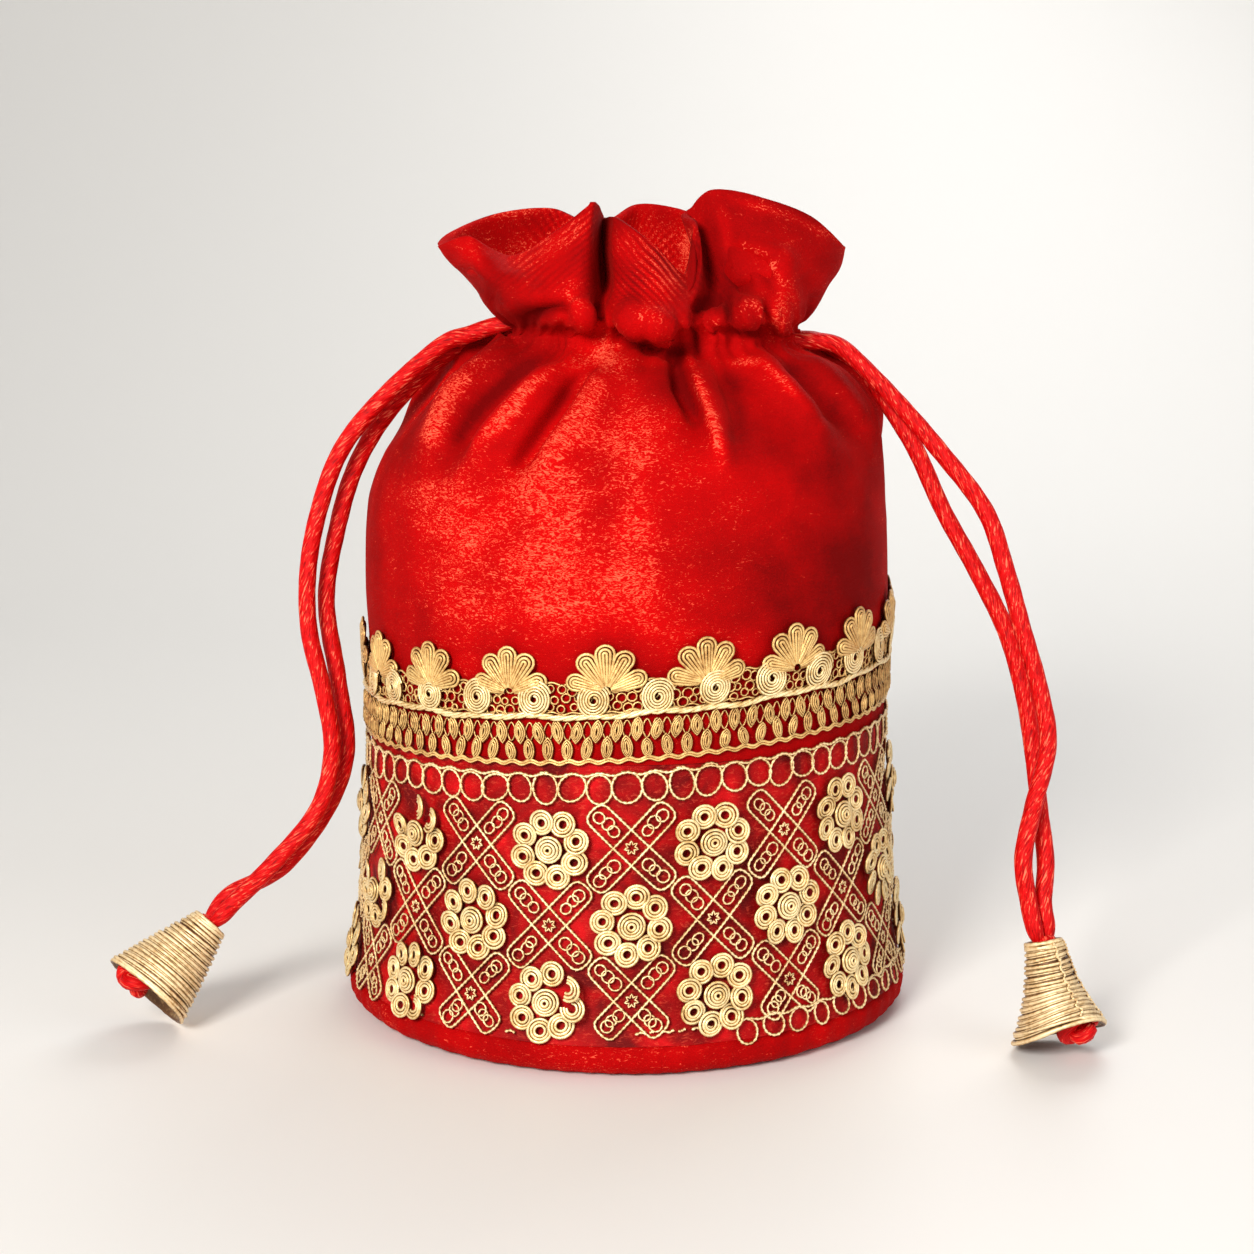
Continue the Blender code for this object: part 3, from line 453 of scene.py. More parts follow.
# Mesh builders
def make_mesh(name, points, quads, finish, uv=None, tone=None, place=None):
    """Mesh object of quads; uv, tone (the level of painted shine and shade) and place are given for each point."""
    points = np.asarray(points, float).reshape(-1, 3)
    mesh = bpy.data.meshes.new(name)
    mesh.vertices.add(len(points))
    mesh.vertices.foreach_set("co", points.ravel())
    mesh.loops.add(quads.size)
    mesh.loops.foreach_set("vertex_index", quads.ravel())
    mesh.polygons.add(len(quads))
    mesh.polygons.foreach_set("loop_start", np.arange(0, quads.size, 4))
    mesh.polygons.foreach_set("loop_total", np.full(len(quads), 4))
    mesh.update(calc_edges=True)
    if uv is not None:
        layer = mesh.uv_layers.new(name="UVMap")
        layer.data.foreach_set("uv", np.asarray(uv, float).reshape(-1, 2)[quads.ravel()].ravel())
    for key, kind, field, values in (("tone", "FLOAT", "value", tone),
                                     ("place", "FLOAT_VECTOR", "vector", place)):
        if values is not None:
            layer = mesh.attributes.new(key, kind, "POINT")
            layer.data.foreach_set(field, np.asarray(values, float).ravel())
    mesh.validate()
    mesh.shade_smooth()
    mesh.materials.append(finish)
    made = bpy.data.objects.new(name, mesh)
    bpy.context.scene.collection.objects.link(made)
    return made


def grid_quads(rows, columns, close_rows=False, close_columns=True):
    """Quads of a grid of points, which may close on itself each way."""
    row = np.arange(rows if close_rows else rows - 1)[:, None]
    column = np.arange(columns if close_columns else columns - 1)[None]
    below, above = row * columns, (row + 1) % rows * columns
    past = (column + 1) % columns
    return np.stack([below + column, below + past, above + past, above + column],
                    axis=-1).reshape(-1, 4)


def settle(piece, slot, *nodes):
    """A finished piece rides on the bag, in place of its solids."""
    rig.ride(piece, BODY)
    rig.slot(piece, slot)
    if nodes:
        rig.replaces(piece, *nodes)
    return piece


class Threads:
    """Many round threads gathered into one piece."""

    def __init__(self):
        self.points = []
        self.quads = []
        self.tones = []
        self.count = 0

    def add(self, path, normal, radius, sides=5, flat=1.0, closed=False):
        """Threads along paths of shape (threads, points, 3).

        radius may vary along the path; flat squeezes it along the normal.
        """
        path = np.asarray(path, float)
        if path.ndim == 2:
            path = path[None]
        normal = np.broadcast_to(np.asarray(normal, float), path.shape)
        if closed:
            along = unit(np.roll(path, -1, axis=1) - np.roll(path, 1, axis=1))
        else:
            along = unit(np.gradient(path, axis=1))
        side = unit(np.cross(along, normal))
        out = np.cross(side, along)
        radius = np.broadcast_to(np.asarray(radius, float), path.shape[:2])
        turn = 2.0 * np.pi * np.arange(sides) / sides
        ring = (side[:, :, None] * np.cos(turn)[None, None, :, None]
                + out[:, :, None] * (flat * np.sin(turn))[None, None, :, None])
        points = path[:, :, None] + ring * radius[:, :, None, None]
        threads, length = path.shape[:2]
        quads = grid_quads(length, sides, close_rows=closed)
        offsets = self.count + np.arange(threads) * length * sides
        self.points.append(points.reshape(-1, 3))
        self.quads.append((quads[None] + offsets[:, None, None]).reshape(-1, 4))
        # Tone round each thread: a painted highlight on its crown and painted shade underneath
        self.tones.append(np.tile(np.sin(turn), threads * length))
        self.count += threads * length * sides

    def build(self, name, finish, *nodes):
        piece = make_mesh(name, np.concatenate(self.points), np.concatenate(self.quads), finish,
                          tone=np.concatenate(self.tones))
        return settle(piece, "gold_thread", *nodes)


def laid(angle, height, across, up, lift, tilt):
    """Points and normals of a flat design laid on the bag's side.

    across and up are metres from a place on the bag, and lift stands off it.
    """
    turned = angle + np.degrees(across / body_radius(height))
    tilted = height + up + tilt * np.sin(np.radians(turned))
    points = bag_point(turned, tilted, TRIM_LIFT + lift, gathered=False)
    return points, ellipse(turned, 1.0, 1.0, 0.0)


# Materials
def set_inputs(made, inputs):
    """Constants of a shader node, whose names have _ for each space."""
    for key, value in inputs.items():
        made.inputs[key.replace("_", " ")].default_value = value


def new_material(name, **inputs):
    made = bpy.data.materials.new(name)
    made.use_nodes = True
    shader = made.node_tree.nodes["Principled BSDF"]
    set_inputs(shader, inputs)
    return made, made.node_tree, shader


def node(tree, kind, **inputs):
    made = tree.nodes.new(kind)
    set_inputs(made, inputs)
    return made


def ramp(tree, source, *stops):
    """Colour ramp on a value; stops are (place, colour)."""
    made = node(tree, "ShaderNodeValToRGB")
    elements = made.color_ramp.elements
    for index, (place, colour) in enumerate(stops):
        element = elements[index] if index < 2 else elements.new(place)
        element.position = place
        element.color = (*colour, 1.0)
    tree.links.new(source, made.inputs["Fac"])
    return made.outputs["Color"]


def mix(tree, factor, first, second):
    """Blend of two colours or colour sockets."""
    made = node(tree, "ShaderNodeMix")
    made.data_type = "RGBA"
    tree.links.new(factor, made.inputs[0])
    for socket, value in ((made.inputs[6], first), (made.inputs[7], second)):
        if isinstance(value, bpy.types.NodeSocket):
            tree.links.new(value, socket)
        else:
            socket.default_value = (*value, 1.0)
    return made.outputs[2]


def weighted(tree, *parts, base=0.0, clamp=True):
    """Sum of values, each times its weight, plus a base, from 0 to 1 with clamp."""
    total = None
    for index, (value, weight) in enumerate(parts):
        made = node(tree, "ShaderNodeMath")
        made.operation = "MULTIPLY_ADD"
        made.use_clamp = clamp and index == len(parts) - 1
        tree.links.new(value, made.inputs[0])
        made.inputs[1].default_value = weight
        if total is None:
            made.inputs[2].default_value = base
        else:
            tree.links.new(total, made.inputs[2])
        total = made.outputs[0]
    return total


def attribute(tree, name, output="Fac"):
    made = node(tree, "ShaderNodeAttribute")
    made.attribute_name = name
    return made.outputs[output]


def stretched(tree, source, scale):
    """Coordinates of a texture, scaled along each axis."""
    made = node(tree, "ShaderNodeMapping", Scale=scale)
    tree.links.new(source, made.inputs["Vector"])
    return made.outputs["Vector"]


def noise_texture(tree, vector, scale, detail=2.0, distortion=0.0, roughness=0.5):
    made = node(tree, "ShaderNodeTexNoise", Scale=scale, Detail=detail,
                Distortion=distortion, Roughness=roughness)
    tree.links.new(vector, made.inputs["Vector"])
    return made.outputs["Fac"]


def cloth_noise(tree, scale, detail=2.0, distortion=0.0, roughness=0.5, up=1.0):
    """Noise on the cloth itself, times up along the bag's height."""
    place = stretched(tree, attribute(tree, "place", "Vector"), (1.0, 1.0, up))
    return noise_texture(tree, place, scale, detail, distortion, roughness)


def solid_noise(tree, scale, detail=2.0):
    """Noise through the piece's own space."""
    place = node(tree, "ShaderNodeTexCoord").outputs["Object"]
    return noise_texture(tree, place, scale, detail)


def surface(tree, shader, colour, height, strength, distance):
    """Colour and bump of a material."""
    tree.links.new(colour, shader.inputs["Base Color"])
    made = node(tree, "ShaderNodeBump", Strength=strength, Distance=distance)
    tree.links.new(height, made.inputs["Height"])
    tree.links.new(made.outputs["Normal"], shader.inputs["Normal"])


# Deep and plain red of the velvet, and the coral of its painted sheen highlight
VELVET_DEEP = (0.17, 0.0001, 0.0004)
VELVET_RED = (0.55, 0.0003, 0.0008)
VELVET_SHINE = (1.0, 0.120, 0.060)


def velvet_material():
    """Crushed velvet: red pile with coral streaks of painted sheen where the pile lies flat, and painted shade in its
    folds.
    """
    made, tree, shader = new_material("crushed_velvet", Roughness=0.82, Specular_IOR_Level=0.06,
                                      Sheen_Weight=0.12, Sheen_Roughness=0.35,
                                      Sheen_Tint=(1.0, 0.05, 0.03, 1.0))
    tone = attribute(tree, "tone")
    streak = cloth_noise(tree, 560.0, 3.0, 2.2, 0.52, up=2.4)
    blotch = cloth_noise(tree, 60.0, 5.0, 0.2, 0.60, up=1.2)
    cloud = cloth_noise(tree, 26.0, 2.0, 0.4)
    fine = cloth_noise(tree, 2200.0)
    # Coral streaks of painted sheen, most where the tone is high
    sheen_mask = weighted(tree, (streak, 9.0), (blotch, 2.0), (tone, 2.6), base=-5.85)
    # Red that darkens in random clouds and in the painted shade of the folds
    level = weighted(tree, (cloud, 1.2), (blotch, 0.9), (streak, 0.5), (tone, 0.8), base=-0.40)
    red = mix(tree, level, VELVET_DEEP, VELVET_RED)
    lit = mix(tree, weighted(tree, (sheen_mask, 0.90)), red, VELVET_SHINE)
    pile = weighted(tree, (streak, 0.9), (fine, 0.4), clamp=False)
    surface(tree, shader, lit, pile, 0.40, 0.0006)
    return made


def panel_material():
    """Velvet ground of the embroidered panel, darker and flatter, with sparse coral streaks of painted sheen."""
    made, tree, shader = new_material("panel_velvet", Roughness=0.62, Specular_IOR_Level=0.12,
                                      Sheen_Weight=0.10, Sheen_Tint=(1.0, 0.08, 0.05, 1.0))
    blotch = cloth_noise(tree, 85.0, 3.0, 0.6)
    streak = cloth_noise(tree, 600.0, 3.0, 1.2, up=2.2)
    red = ramp(tree, blotch, (0.34, (0.13, 0.0001, 0.0006)), (0.54, (0.37, 0.0003, 0.0012)),
               (0.72, (0.64, 0.003, 0.006)))
    # Streaks of painted sheen
    sheen_mask = weighted(tree, (streak, 3.4), base=-1.85)
    lit = mix(tree, weighted(tree, (sheen_mask, 0.45)), red, VELVET_SHINE)
    surface(tree, shader, lit, streak, 0.35, 0.0004)
    return made


def gold_material(name, light, middle, dark, metallic, roughness):
    """Metal-wrapped thread: painted highlight on the crowns, painted shade on the brown flanks, and uneven wear."""
    made, tree, shader = new_material(name, Metallic=metallic, Roughness=roughness)
    # The tone paints highlight on the crowns and shade on the flanks; the noise is uneven wear
    level = weighted(tree, (attribute(tree, "tone"), 0.74), (solid_noise(tree, 900.0, 3.0), 1.0),
                     (solid_noise(tree, 120.0), 0.8), base=-0.78)
    colour = ramp(tree, level, (0.08, dark), (0.46, middle), (0.84, light))
    surface(tree, shader, colour, solid_noise(tree, 3200.0), 0.45, 0.0002)
    return made


def cord_material():
    """Satin cord: slanted threads on red, the bright ones a painted sheen highlight."""
    made, tree, shader = new_material("satin_cord", Roughness=0.52, Specular_IOR_Level=0.12)
    uv = node(tree, "ShaderNodeTexCoord").outputs["UV"]
    threads = noise_texture(tree, stretched(tree, uv, (27.0, 330.0, 1.0)), 1.0, 2.0, 0.6, 0.6)
    broad = noise_texture(tree, stretched(tree, uv, (2.0, 60.0, 1.0)), 1.0)
    level = weighted(tree, (threads, 0.88), (broad, 0.12))
    # The brightest stop is the painted sheen of the satin threads
    colour = ramp(tree, level, (0.32, (0.28, 0.0002, 0.0006)), (0.44, (0.58, 0.0006, 0.0014)),
                  (0.57, (0.72, 0.005, 0.006)), (0.66, (1.0, 0.19, 0.10)))
    surface(tree, shader, colour, threads, 0.7, 0.0005)
    return made


def plain_cloth(name, colour, roughness):
    made, tree, shader = new_material(name, Roughness=roughness)
    weave = solid_noise(tree, 1500.0)
    dark = tuple(0.7 * part for part in colour)
    surface(tree, shader, ramp(tree, weave, (0.3, dark), (0.7, colour)), weave, 0.4, 0.0002)
    return made


VELVET = velvet_material()
PANEL = panel_material()
# Light, middle and dark of each thread, the light painted as highlight on its crowns and the dark as shade on its
# flanks, then how metallic and rough it is
GOLD = gold_material("gold_coil_thread", (1.0, 0.82, 0.45), (0.68, 0.42, 0.14),
                     (0.11, 0.036, 0.007), 0.42, 0.36)
PALE_GOLD = gold_material("pale_chain_thread", (1.0, 0.80, 0.46), (0.70, 0.44, 0.18),
                          (0.22, 0.09, 0.025), 0.35, 0.40)
LACE_GOLD = gold_material("gold_lace_thread", (0.86, 0.58, 0.22), (0.54, 0.28, 0.08),
                          (0.08, 0.024, 0.004), 0.42, 0.38)
CONE_GOLD = gold_material("cone_thread", (0.92, 0.72, 0.42), (0.60, 0.37, 0.15),
                          (0.13, 0.050, 0.013), 0.34, 0.40)
CORD = cord_material()
LINING = plain_cloth("lining_weave", (0.42, 0.006, 0.012), 0.85)
CARD = plain_cloth("grey_board", (0.42, 0.38, 0.33), 0.95)


# Cords come first
LOOP_INSET = VELVET_THICKNESS + NECK_PLEAT + CORD_GAP + 0.5 * CORD_DIAMETER
LOOP_RISE = 0.5 * (CORD_DIAMETER + CORD_GAP)
LOOP_OVERLAP = 0.0003
CORD_SIDES = 18
CORD_PLIES = 6
CORD_TWIST = 0.042
CORD_RING_STEP = 0.0009
CORD_TAPER_LENGTH = 0.0062
CORD_END_SHARE = 0.55


def axis_frame(axis):
    down = Vector(axis).normalized()
    level = Vector((0, 0, 1)).cross(down).normalized()
    return down, level, down.cross(level).normalized()


def channel_exit(hand, way, height):
    """Bend from the loop's end in the channel to straight out of the neck."""
    half_width = NECK_HALF_WIDTH - LOOP_INSET
    half_depth = NECK_HALF_DEPTH - LOOP_INSET
    opened = LOOP_OPEN_ANGLE - math.degrees(LOOP_OVERLAP / half_depth)
    turn = math.radians(90.0 * hand - way * hand * opened)
    start = Vector((NECK_SHIFT + half_width * math.sin(turn), -half_depth * math.cos(turn), height))
    first = math.atan2(abs(half_depth * math.sin(turn)), abs(half_width * math.cos(turn)))
    bend = []
    for step in range(5):
        heading = first * (1.0 - step / 4)
        across = CORD_BEND * (math.sin(first) - math.sin(heading))
        along = CORD_BEND * (math.cos(heading) - math.cos(first))
        bend.append(start + Vector((hand * across, way * along, 0.0)))
    return bend


def tube_frame(path):
    """Directions across a path that don't spin along it."""
    along = unit(np.gradient(path, axis=0))
    across = np.cross(along[0], (0.0, 0.0, 1.0))
    sides = []
    for direction in along:
        across = unit(across - direction * across.dot(direction))
        sides.append(across)
    return np.array(sides), np.cross(along, sides)


def twisted_tube(name, points, radius, taper=0.0):
    """Cord with slightly raised plies that wind round it; taper thins its end."""
    lengths = run_lengths(points)
    marks = np.linspace(0.0, lengths[-1], int(lengths[-1] / CORD_RING_STEP) + 1)
    path = at_marks(points, lengths, marks)
    side, out = tube_frame(path)
    turn = 2.0 * np.pi * np.arange(CORD_SIDES + 1) / CORD_SIDES
    wound = turn[None] - 2.0 * np.pi * marks[:, None] / CORD_TWIST
    size = radius * (0.985 + 0.015 * np.cos(CORD_PLIES * wound))
    size *= 1.0 + 0.03 * noise(path, 0.012)[:, None]
    size *= (1.0 - taper * smoothstep(marks[-1] - CORD_TAPER_LENGTH, marks[-1], marks))[:, None]
    size[[0, -1]] *= CORD_END_SHARE
    ring = side[:, None] * np.cos(turn)[None, :, None] + out[:, None] * np.sin(turn)[None, :, None]
    uv = np.stack(np.broadcast_arrays(wound / (2.0 * np.pi), marks[:, None]), axis=-1)
    quads = grid_quads(len(path), CORD_SIDES + 1, close_columns=False)
    piece = make_mesh(name, path[:, None] + ring * size[:, :, None], quads, CORD, uv=uv)
    return piece, path


def cord_routes():
    """Hand, place, exit and points of each cord, down into its cone."""
    ends = (
        ("left", -1, LEFT_CONE_TOP, LEFT_CONE_AXIS,
         (("front", 1, LEFT_FRONT_ROUTE, 1), ("back", -1, LEFT_BACK_ROUTE, -1))),
        ("right", 1, RIGHT_CONE_TOP, RIGHT_CONE_AXIS,
         (("front", 1, RIGHT_FRONT_ROUTE, -1), ("back", -1, RIGHT_BACK_ROUTE, 1))),
    )
    for hand, way, top, axis, cords in ends:
        down, level, _ = axis_frame(axis)
        for place, front, route, side in cords:
            start = channel_exit(way, front, NECK_HEIGHT - way * LOOP_RISE)
            apart = level * side * 0.5 * (CORD_DIAMETER + 0.0003)
            end = Vector(top) - down * 0.0003
            chosen = start + [Vector(point) * MM for point in route]
            chosen += [end - down * 2.0 * CORD_DIAMETER + apart, end - down * 0.0030 + 0.86 * apart,
                       end + 0.62 * apart, end + down * 0.0022 + 0.45 * apart]
            yield hand, place, start[-1], spline(np.array(chosen), 12)


def build_cords():
    """The four cords; each with its hand, exit, length and middle line."""
    made = []
    for hand, place, leaves, route in cord_routes():
        name = f"{hand}_cord_{place}"
        piece, path = twisted_tube(f"{name}_rattail", route, 0.5 * CORD_DIAMETER, taper=0.45)
        settle(piece, "cord", name)
        made.append((piece, hand, tuple(leaves), round(float(run_lengths(path)[-1]), 3), path))
    return made


def build_channel_loops():
    for hand, side in (("left", -1), ("right", 1)):
        start = 90.0 * side + LOOP_OPEN_ANGLE
        angles = np.linspace(start, start + 360.0 - 2.0 * LOOP_OPEN_ANGLE, 90)
        ring = neck_ellipse(angles, NECK_HEIGHT - side * LOOP_RISE, LOOP_INSET)
        piece, _ = twisted_tube(f"{hand}_channel_cord", ring, 0.49 * CORD_DIAMETER)
        settle(piece, "cord", f"{hand}_cord_loop")


CORDS = build_cords()
build_channel_loops()


# Velvet top
CLOTH_SIDES = 480
FRILL_ROWS = 12
TIP_COLUMNS = 14.0
TIP_PASSES = 60
GATHER_LINE = 0.1735
INNER_INSET = 0.0094


def cloth_angles():
    count = len(RIM_LINE)
    stations = np.arange(count + 1)
    angles = np.interp(stations, (LEFT_TIP, RIGHT_TIP, count), (-90, 90, 270))
    return np.interp(np.arange(CLOTH_SIDES) * count / CLOTH_SIDES, stations, angles)


ANGLES = cloth_angles()


def frill_ring(line, inset=0.0, rise=0.0):
    """A drawn frill line as a ring of points, moved inwards and up."""
    ring = spline(np.array(line, float) * MM, CLOTH_SIDES // len(line), closed=True)
    if inset:
        along = np.roll(ring, -1, axis=0) - np.roll(ring, 1, axis=0)
        ring[:, :2] += inset * unit(np.column_stack([-along[:, 1], along[:, 0]]))
    ring[:, 2] += rise
    return ring


def between(line_a, line_b, share, swell):
    """A line between two drawn ones, swollen outwards by millimetres."""
    mixed = np.array(line_a, float) * (1.0 - share) + np.array(line_b, float) * share
    mixed[:, :2] += swell * unit(mixed[:, :2] - (NECK_SHIFT / MM, 0.0))
    return mixed


def rounded_tip(rows):
    """Frill rows with the right corner eased, as a folded edge is."""
    column = RIGHT_TIP * CLOTH_SIDES // len(RIM_LINE)
    away = np.abs(np.arange(CLOTH_SIDES) - column)
    weight = np.exp(-(away / TIP_COLUMNS) ** 2)[None, :, None]
    eased = rows
    for _ in range(TIP_PASSES):
        eased = (np.roll(eased, 1, axis=1) + 2.0 * eased + np.roll(eased, -1, axis=1)) / 4.0
    return rows + weight * (eased - rows)


def velvet_rows():
    """Rows of the cloth from the seam up the wall, over the rim and down."""
    heights = np.concatenate([np.linspace(SEAM_HEIGHT, 0.128, 26)[:-1],
                              np.linspace(0.128, GATHER_LINE, 62)[:-1],
                              np.linspace(GATHER_LINE, NECK_HEIGHT, 9)])
    body = bag_point(ANGLES[None], heights[:, None])
    upper = between(MIDDLE_LINE, RIM_LINE, 0.5, 0.8)
    stations = [bag_point(ANGLES, height) for height in (GATHER_LINE, NECK_HEIGHT)]
    stations += [frill_ring(line) for line in (PUFF_LINE, MIDDLE_LINE, upper, RIM_LINE)]
    frill = spline(np.stack(stations), FRILL_ROWS)[FRILL_ROWS + 1:]
    lip = np.stack([frill_ring(RIM_LINE, 0.25 * FRILL_THICKNESS, 0.00035),
                    frill_ring(RIM_LINE, 0.75 * FRILL_THICKNESS, 0.0003)])
    inside = [frill_ring(line, FRILL_THICKNESS, rise)
              for line, rise in ((RIM_LINE, -0.0002), (upper, 0.0), (MIDDLE_LINE, 0.0005))]
    inside += [neck_ellipse(ANGLES, height, INNER_INSET) for height in (0.1850, 0.1780, 0.1695)]
    inner = spline(np.stack(inside), 7)
    return body, rounded_tip(frill), rounded_tip(lip), rounded_tip(inner)


def surface_normals(rows):
    """Outward unit normals of a closed loft, rows going up."""
    around = np.roll(rows, -1, axis=1) - np.roll(rows, 1, axis=1)
    return unit(np.cross(around, np.gradient(rows, axis=0)))


# Folds and shine on the front, drawn as lines in the view from the front in
# pixels of a 1254 pixel wide picture: points, half width, and depth in
# millimetres (out of the cloth is positive) or strength of the painted shine, which paints shade below 0; folds of
# negative depth also get painted shade
FOLD_LINES = (
    (((455, 366), (478, 350), (500, 341), (518, 335)), 10, 3.2),
    (((523, 350), (477, 365), (452, 396), (437, 431), (423, 459)), 13, 3.0),
    (((555, 356), (515, 376), (486, 402), (463, 431), (446, 462)), 11, -3.3),
    (((569, 362), (543, 376), (518, 405), (489, 436), (463, 471)), 9, 3.2),
    (((594, 366), (576, 382), (555, 413), (529, 448), (506, 476)), 9, -3.8),
    (((618, 362), (598, 385), (581, 413), (558, 448), (535, 482)), 14, 2.8),
    (((683, 345), (678, 362), (681, 385), (694, 408), (703, 431)), 9, -3.4),
    (((693, 362), (703, 390), (716, 425), (723, 454), (724, 465)), 10, 3.4),
    (((724, 362), (733, 385), (739, 416), (739, 451)), 14, -2.4),
    (((744, 350), (773, 373), (802, 402), (822, 425)), 11, 2.4),
    (((773, 353), (802, 376), (830, 405), (850, 431)), 11, -2.0),
    (((799, 353), (828, 376), (850, 402), (868, 428)), 11, 2.0),
    (((647, 362), (650, 396), (650, 436)), 28, 1.6),
    (((490, 296), (515, 302), (540, 296), (556, 286)), 12, 2.6),
    (((522, 320), (545, 311), (562, 305), (571, 318)), 7, -3.2),
    (((572, 300), (580, 314), (592, 312)), 12, 2.6),
    (((597, 300), (600, 322)), 6, -2.6),
    (((616, 306), (640, 322), (666, 333), (684, 324)), 15, 3.4),
    (((604, 328), (634, 343), (665, 353), (690, 348)), 5, -3.2),
    (((692, 322), (696, 342), (700, 362)), 6, -3.0),
    (((702, 314), (716, 330)), 12, 2.4),
    (((736, 312), (763, 315)), 15, 2.6),
    (((692, 316), (703, 303), (724, 297)), 6, -3.0),
    (((728, 298), (730, 327)), 4, -2.4),
    (((769, 298), (768, 324)), 4, -2.4),
    (((729, 333), (767, 332)), 4, -2.2),
    (((775, 322), (792, 332)), 9, 2.2),
    (((718, 198), (724, 227), (733, 247), (761, 261), (776, 287), (773, 304)), 9, -2.2),
    (((733, 215), (750, 240), (780, 252), (796, 280)), 12, 1.8),
    (((744, 268), (729, 285)), 15, -3.0),
    (((470, 250), (500, 275), (540, 292)), 12, 1.4),
    (((455, 262), (480, 288), (515, 308)), 9, -1.2),
    (((800, 270), (812, 300), (805, 325)), 10, -1.6),
)
# Painted sheen highlights on the velvet; the last two lines paint broad shade
SHINE_LINES = (
    (((472, 365), (452, 390), (434, 422), (423, 454)), 12, 0.95),
    (((558, 362), (529, 385), (500, 422), (477, 442)), 8, 0.95),
    (((604, 365), (589, 385), (572, 422), (541, 454), (518, 476)), 18, 0.90),
    (((691, 365), (703, 396), (716, 428), (723, 462)), 7, 1.05),
    (((718, 362), (764, 362), (782, 379), (807, 408)), 4, 0.70),
    (((506, 264), (535, 253), (569, 227), (592, 210)), 16, 0.50),
    (((609, 227), (638, 253), (667, 276), (687, 293)), 17, 0.50),
    (((716, 195), (724, 224), (730, 244), (759, 256), (776, 276), (782, 296)), 7, 0.85),
    (((565, 307), (575, 273)), 12, 0.45),
    (((609, 339), (604, 356), (618, 365)), 10, 0.70),
    (((687, 273), (685, 247), (697, 221)), 5, 0.90),
    (((785, 300), (770, 330)), 12, 0.50),
    (((570, 440), (550, 540), (560, 660)), 62, 0.78),
    (((450, 450), (450, 560), (470, 660)), 34, 0.50),
    (((625, 400), (632, 500), (640, 620)), 22, 0.55),
    (((600, 560), (700, 650)), 40, 0.30),
    (((655, 380), (680, 500), (700, 600)), 60, 0.34),
    (((440, 205), (520, 212), (600, 196)), 5, 0.55),
    (((715, 195), (790, 215), (846, 245)), 5, 0.40),
    (((560, 362), (640, 356)), 10, 0.35),
    (((636, 306), (668, 318)), 9, 0.42),
    (((740, 300), (761, 305)), 6, 0.50),
    (((710, 320), (722, 325)), 5, 0.50),
    (((572, 300), (590, 306)), 6, 0.45),
    # Painted shade
    (((846, 430), (858, 540), (852, 640)), 44, -0.12),
    (((690, 470), (700, 560), (705, 640)), 30, -0.08),
)
# Shoulder under the left cord, in the same pixels
SHOULDER_LINE = ((450, 372), (466, 356), (484, 348), (504, 344), (524, 340))
# Stripes of painted sheen and painted shade where the pile is crushed in lines
STRIPES = (
    # middle, half width of the region, direction along the stripes in degrees
    ((552, 238), 44, -38.0),
    ((655, 262), 46, 48.0),
)


# The photo's width in pixels and the camera's sensor in millimetres
PHOTO_SIZE = 1254.0
SENSOR_WIDTH = 36.0
# Puff over the shoulder: millimetres out and pixels wide
SHOULDER_PUSH = 4.6
SHOULDER_WIDTH = 15
# Pixels from stripe to stripe
STRIPE_PITCH = 5.8
# Tone of pile that stands up, where the shine starts to level off, how much of
# it is left past there, and the shade of a fold for each millimetre of depth
PLAIN_TONE = -0.60
LEVEL_TONE = 0.06
LEVEL_SHARE = 0.30
FOLD_SHADE = 0.22


def view_place(points):
    """Pixels of points in the front view."""
    away = points - np.array(CAMERA_PLACE)
    pitch = math.radians(CAMERA_PITCH)
    depth = away[..., 1] * math.cos(pitch) - away[..., 2] * math.sin(pitch)
    up = away[..., 1] * math.sin(pitch) + away[..., 2] * math.cos(pitch)
    focus = CAMERA_LENS / SENSOR_WIDTH * PHOTO_SIZE
    return 0.5 * PHOTO_SIZE + focus * away[..., 0] / depth, 0.5 * PHOTO_SIZE - focus * up / depth


def line_weight(across, down, line, width):
    """Bell-shaped weight round a drawn line, fading at its two ends."""
    line = np.asarray(line, float)
    nearest = np.full(across.shape, 1e9)
    along = np.zeros(across.shape)
    marks = run_lengths(line)
    for start, end, run, past in zip(line[:-1], line[1:], marks[:-1], marks[1:]):
        step = (end - start) / (past - run)
        share = np.clip((across - start[0]) * step[0] + (down - start[1]) * step[1],
                        0.0, past - run)
        distance = np.hypot(across - start[0] - share * step[0], down - start[1] - share * step[1])
        along = np.where(distance < nearest, run + share, along)
        nearest = np.minimum(distance, nearest)
    ends = np.clip(1.6 * np.sin(np.pi * np.clip(along / marks[-1], 0.06, 0.94)), 0.0, 1.0)
    return np.exp(-(nearest / width) ** 2) * ends


def facing_front(points, normal):
    """1 where the cloth faces the front view, 0 where it turns away."""
    away = unit(np.array(CAMERA_PLACE) - points)
    return smoothstep(0.02, 0.30, (away * normal).sum(axis=-1))


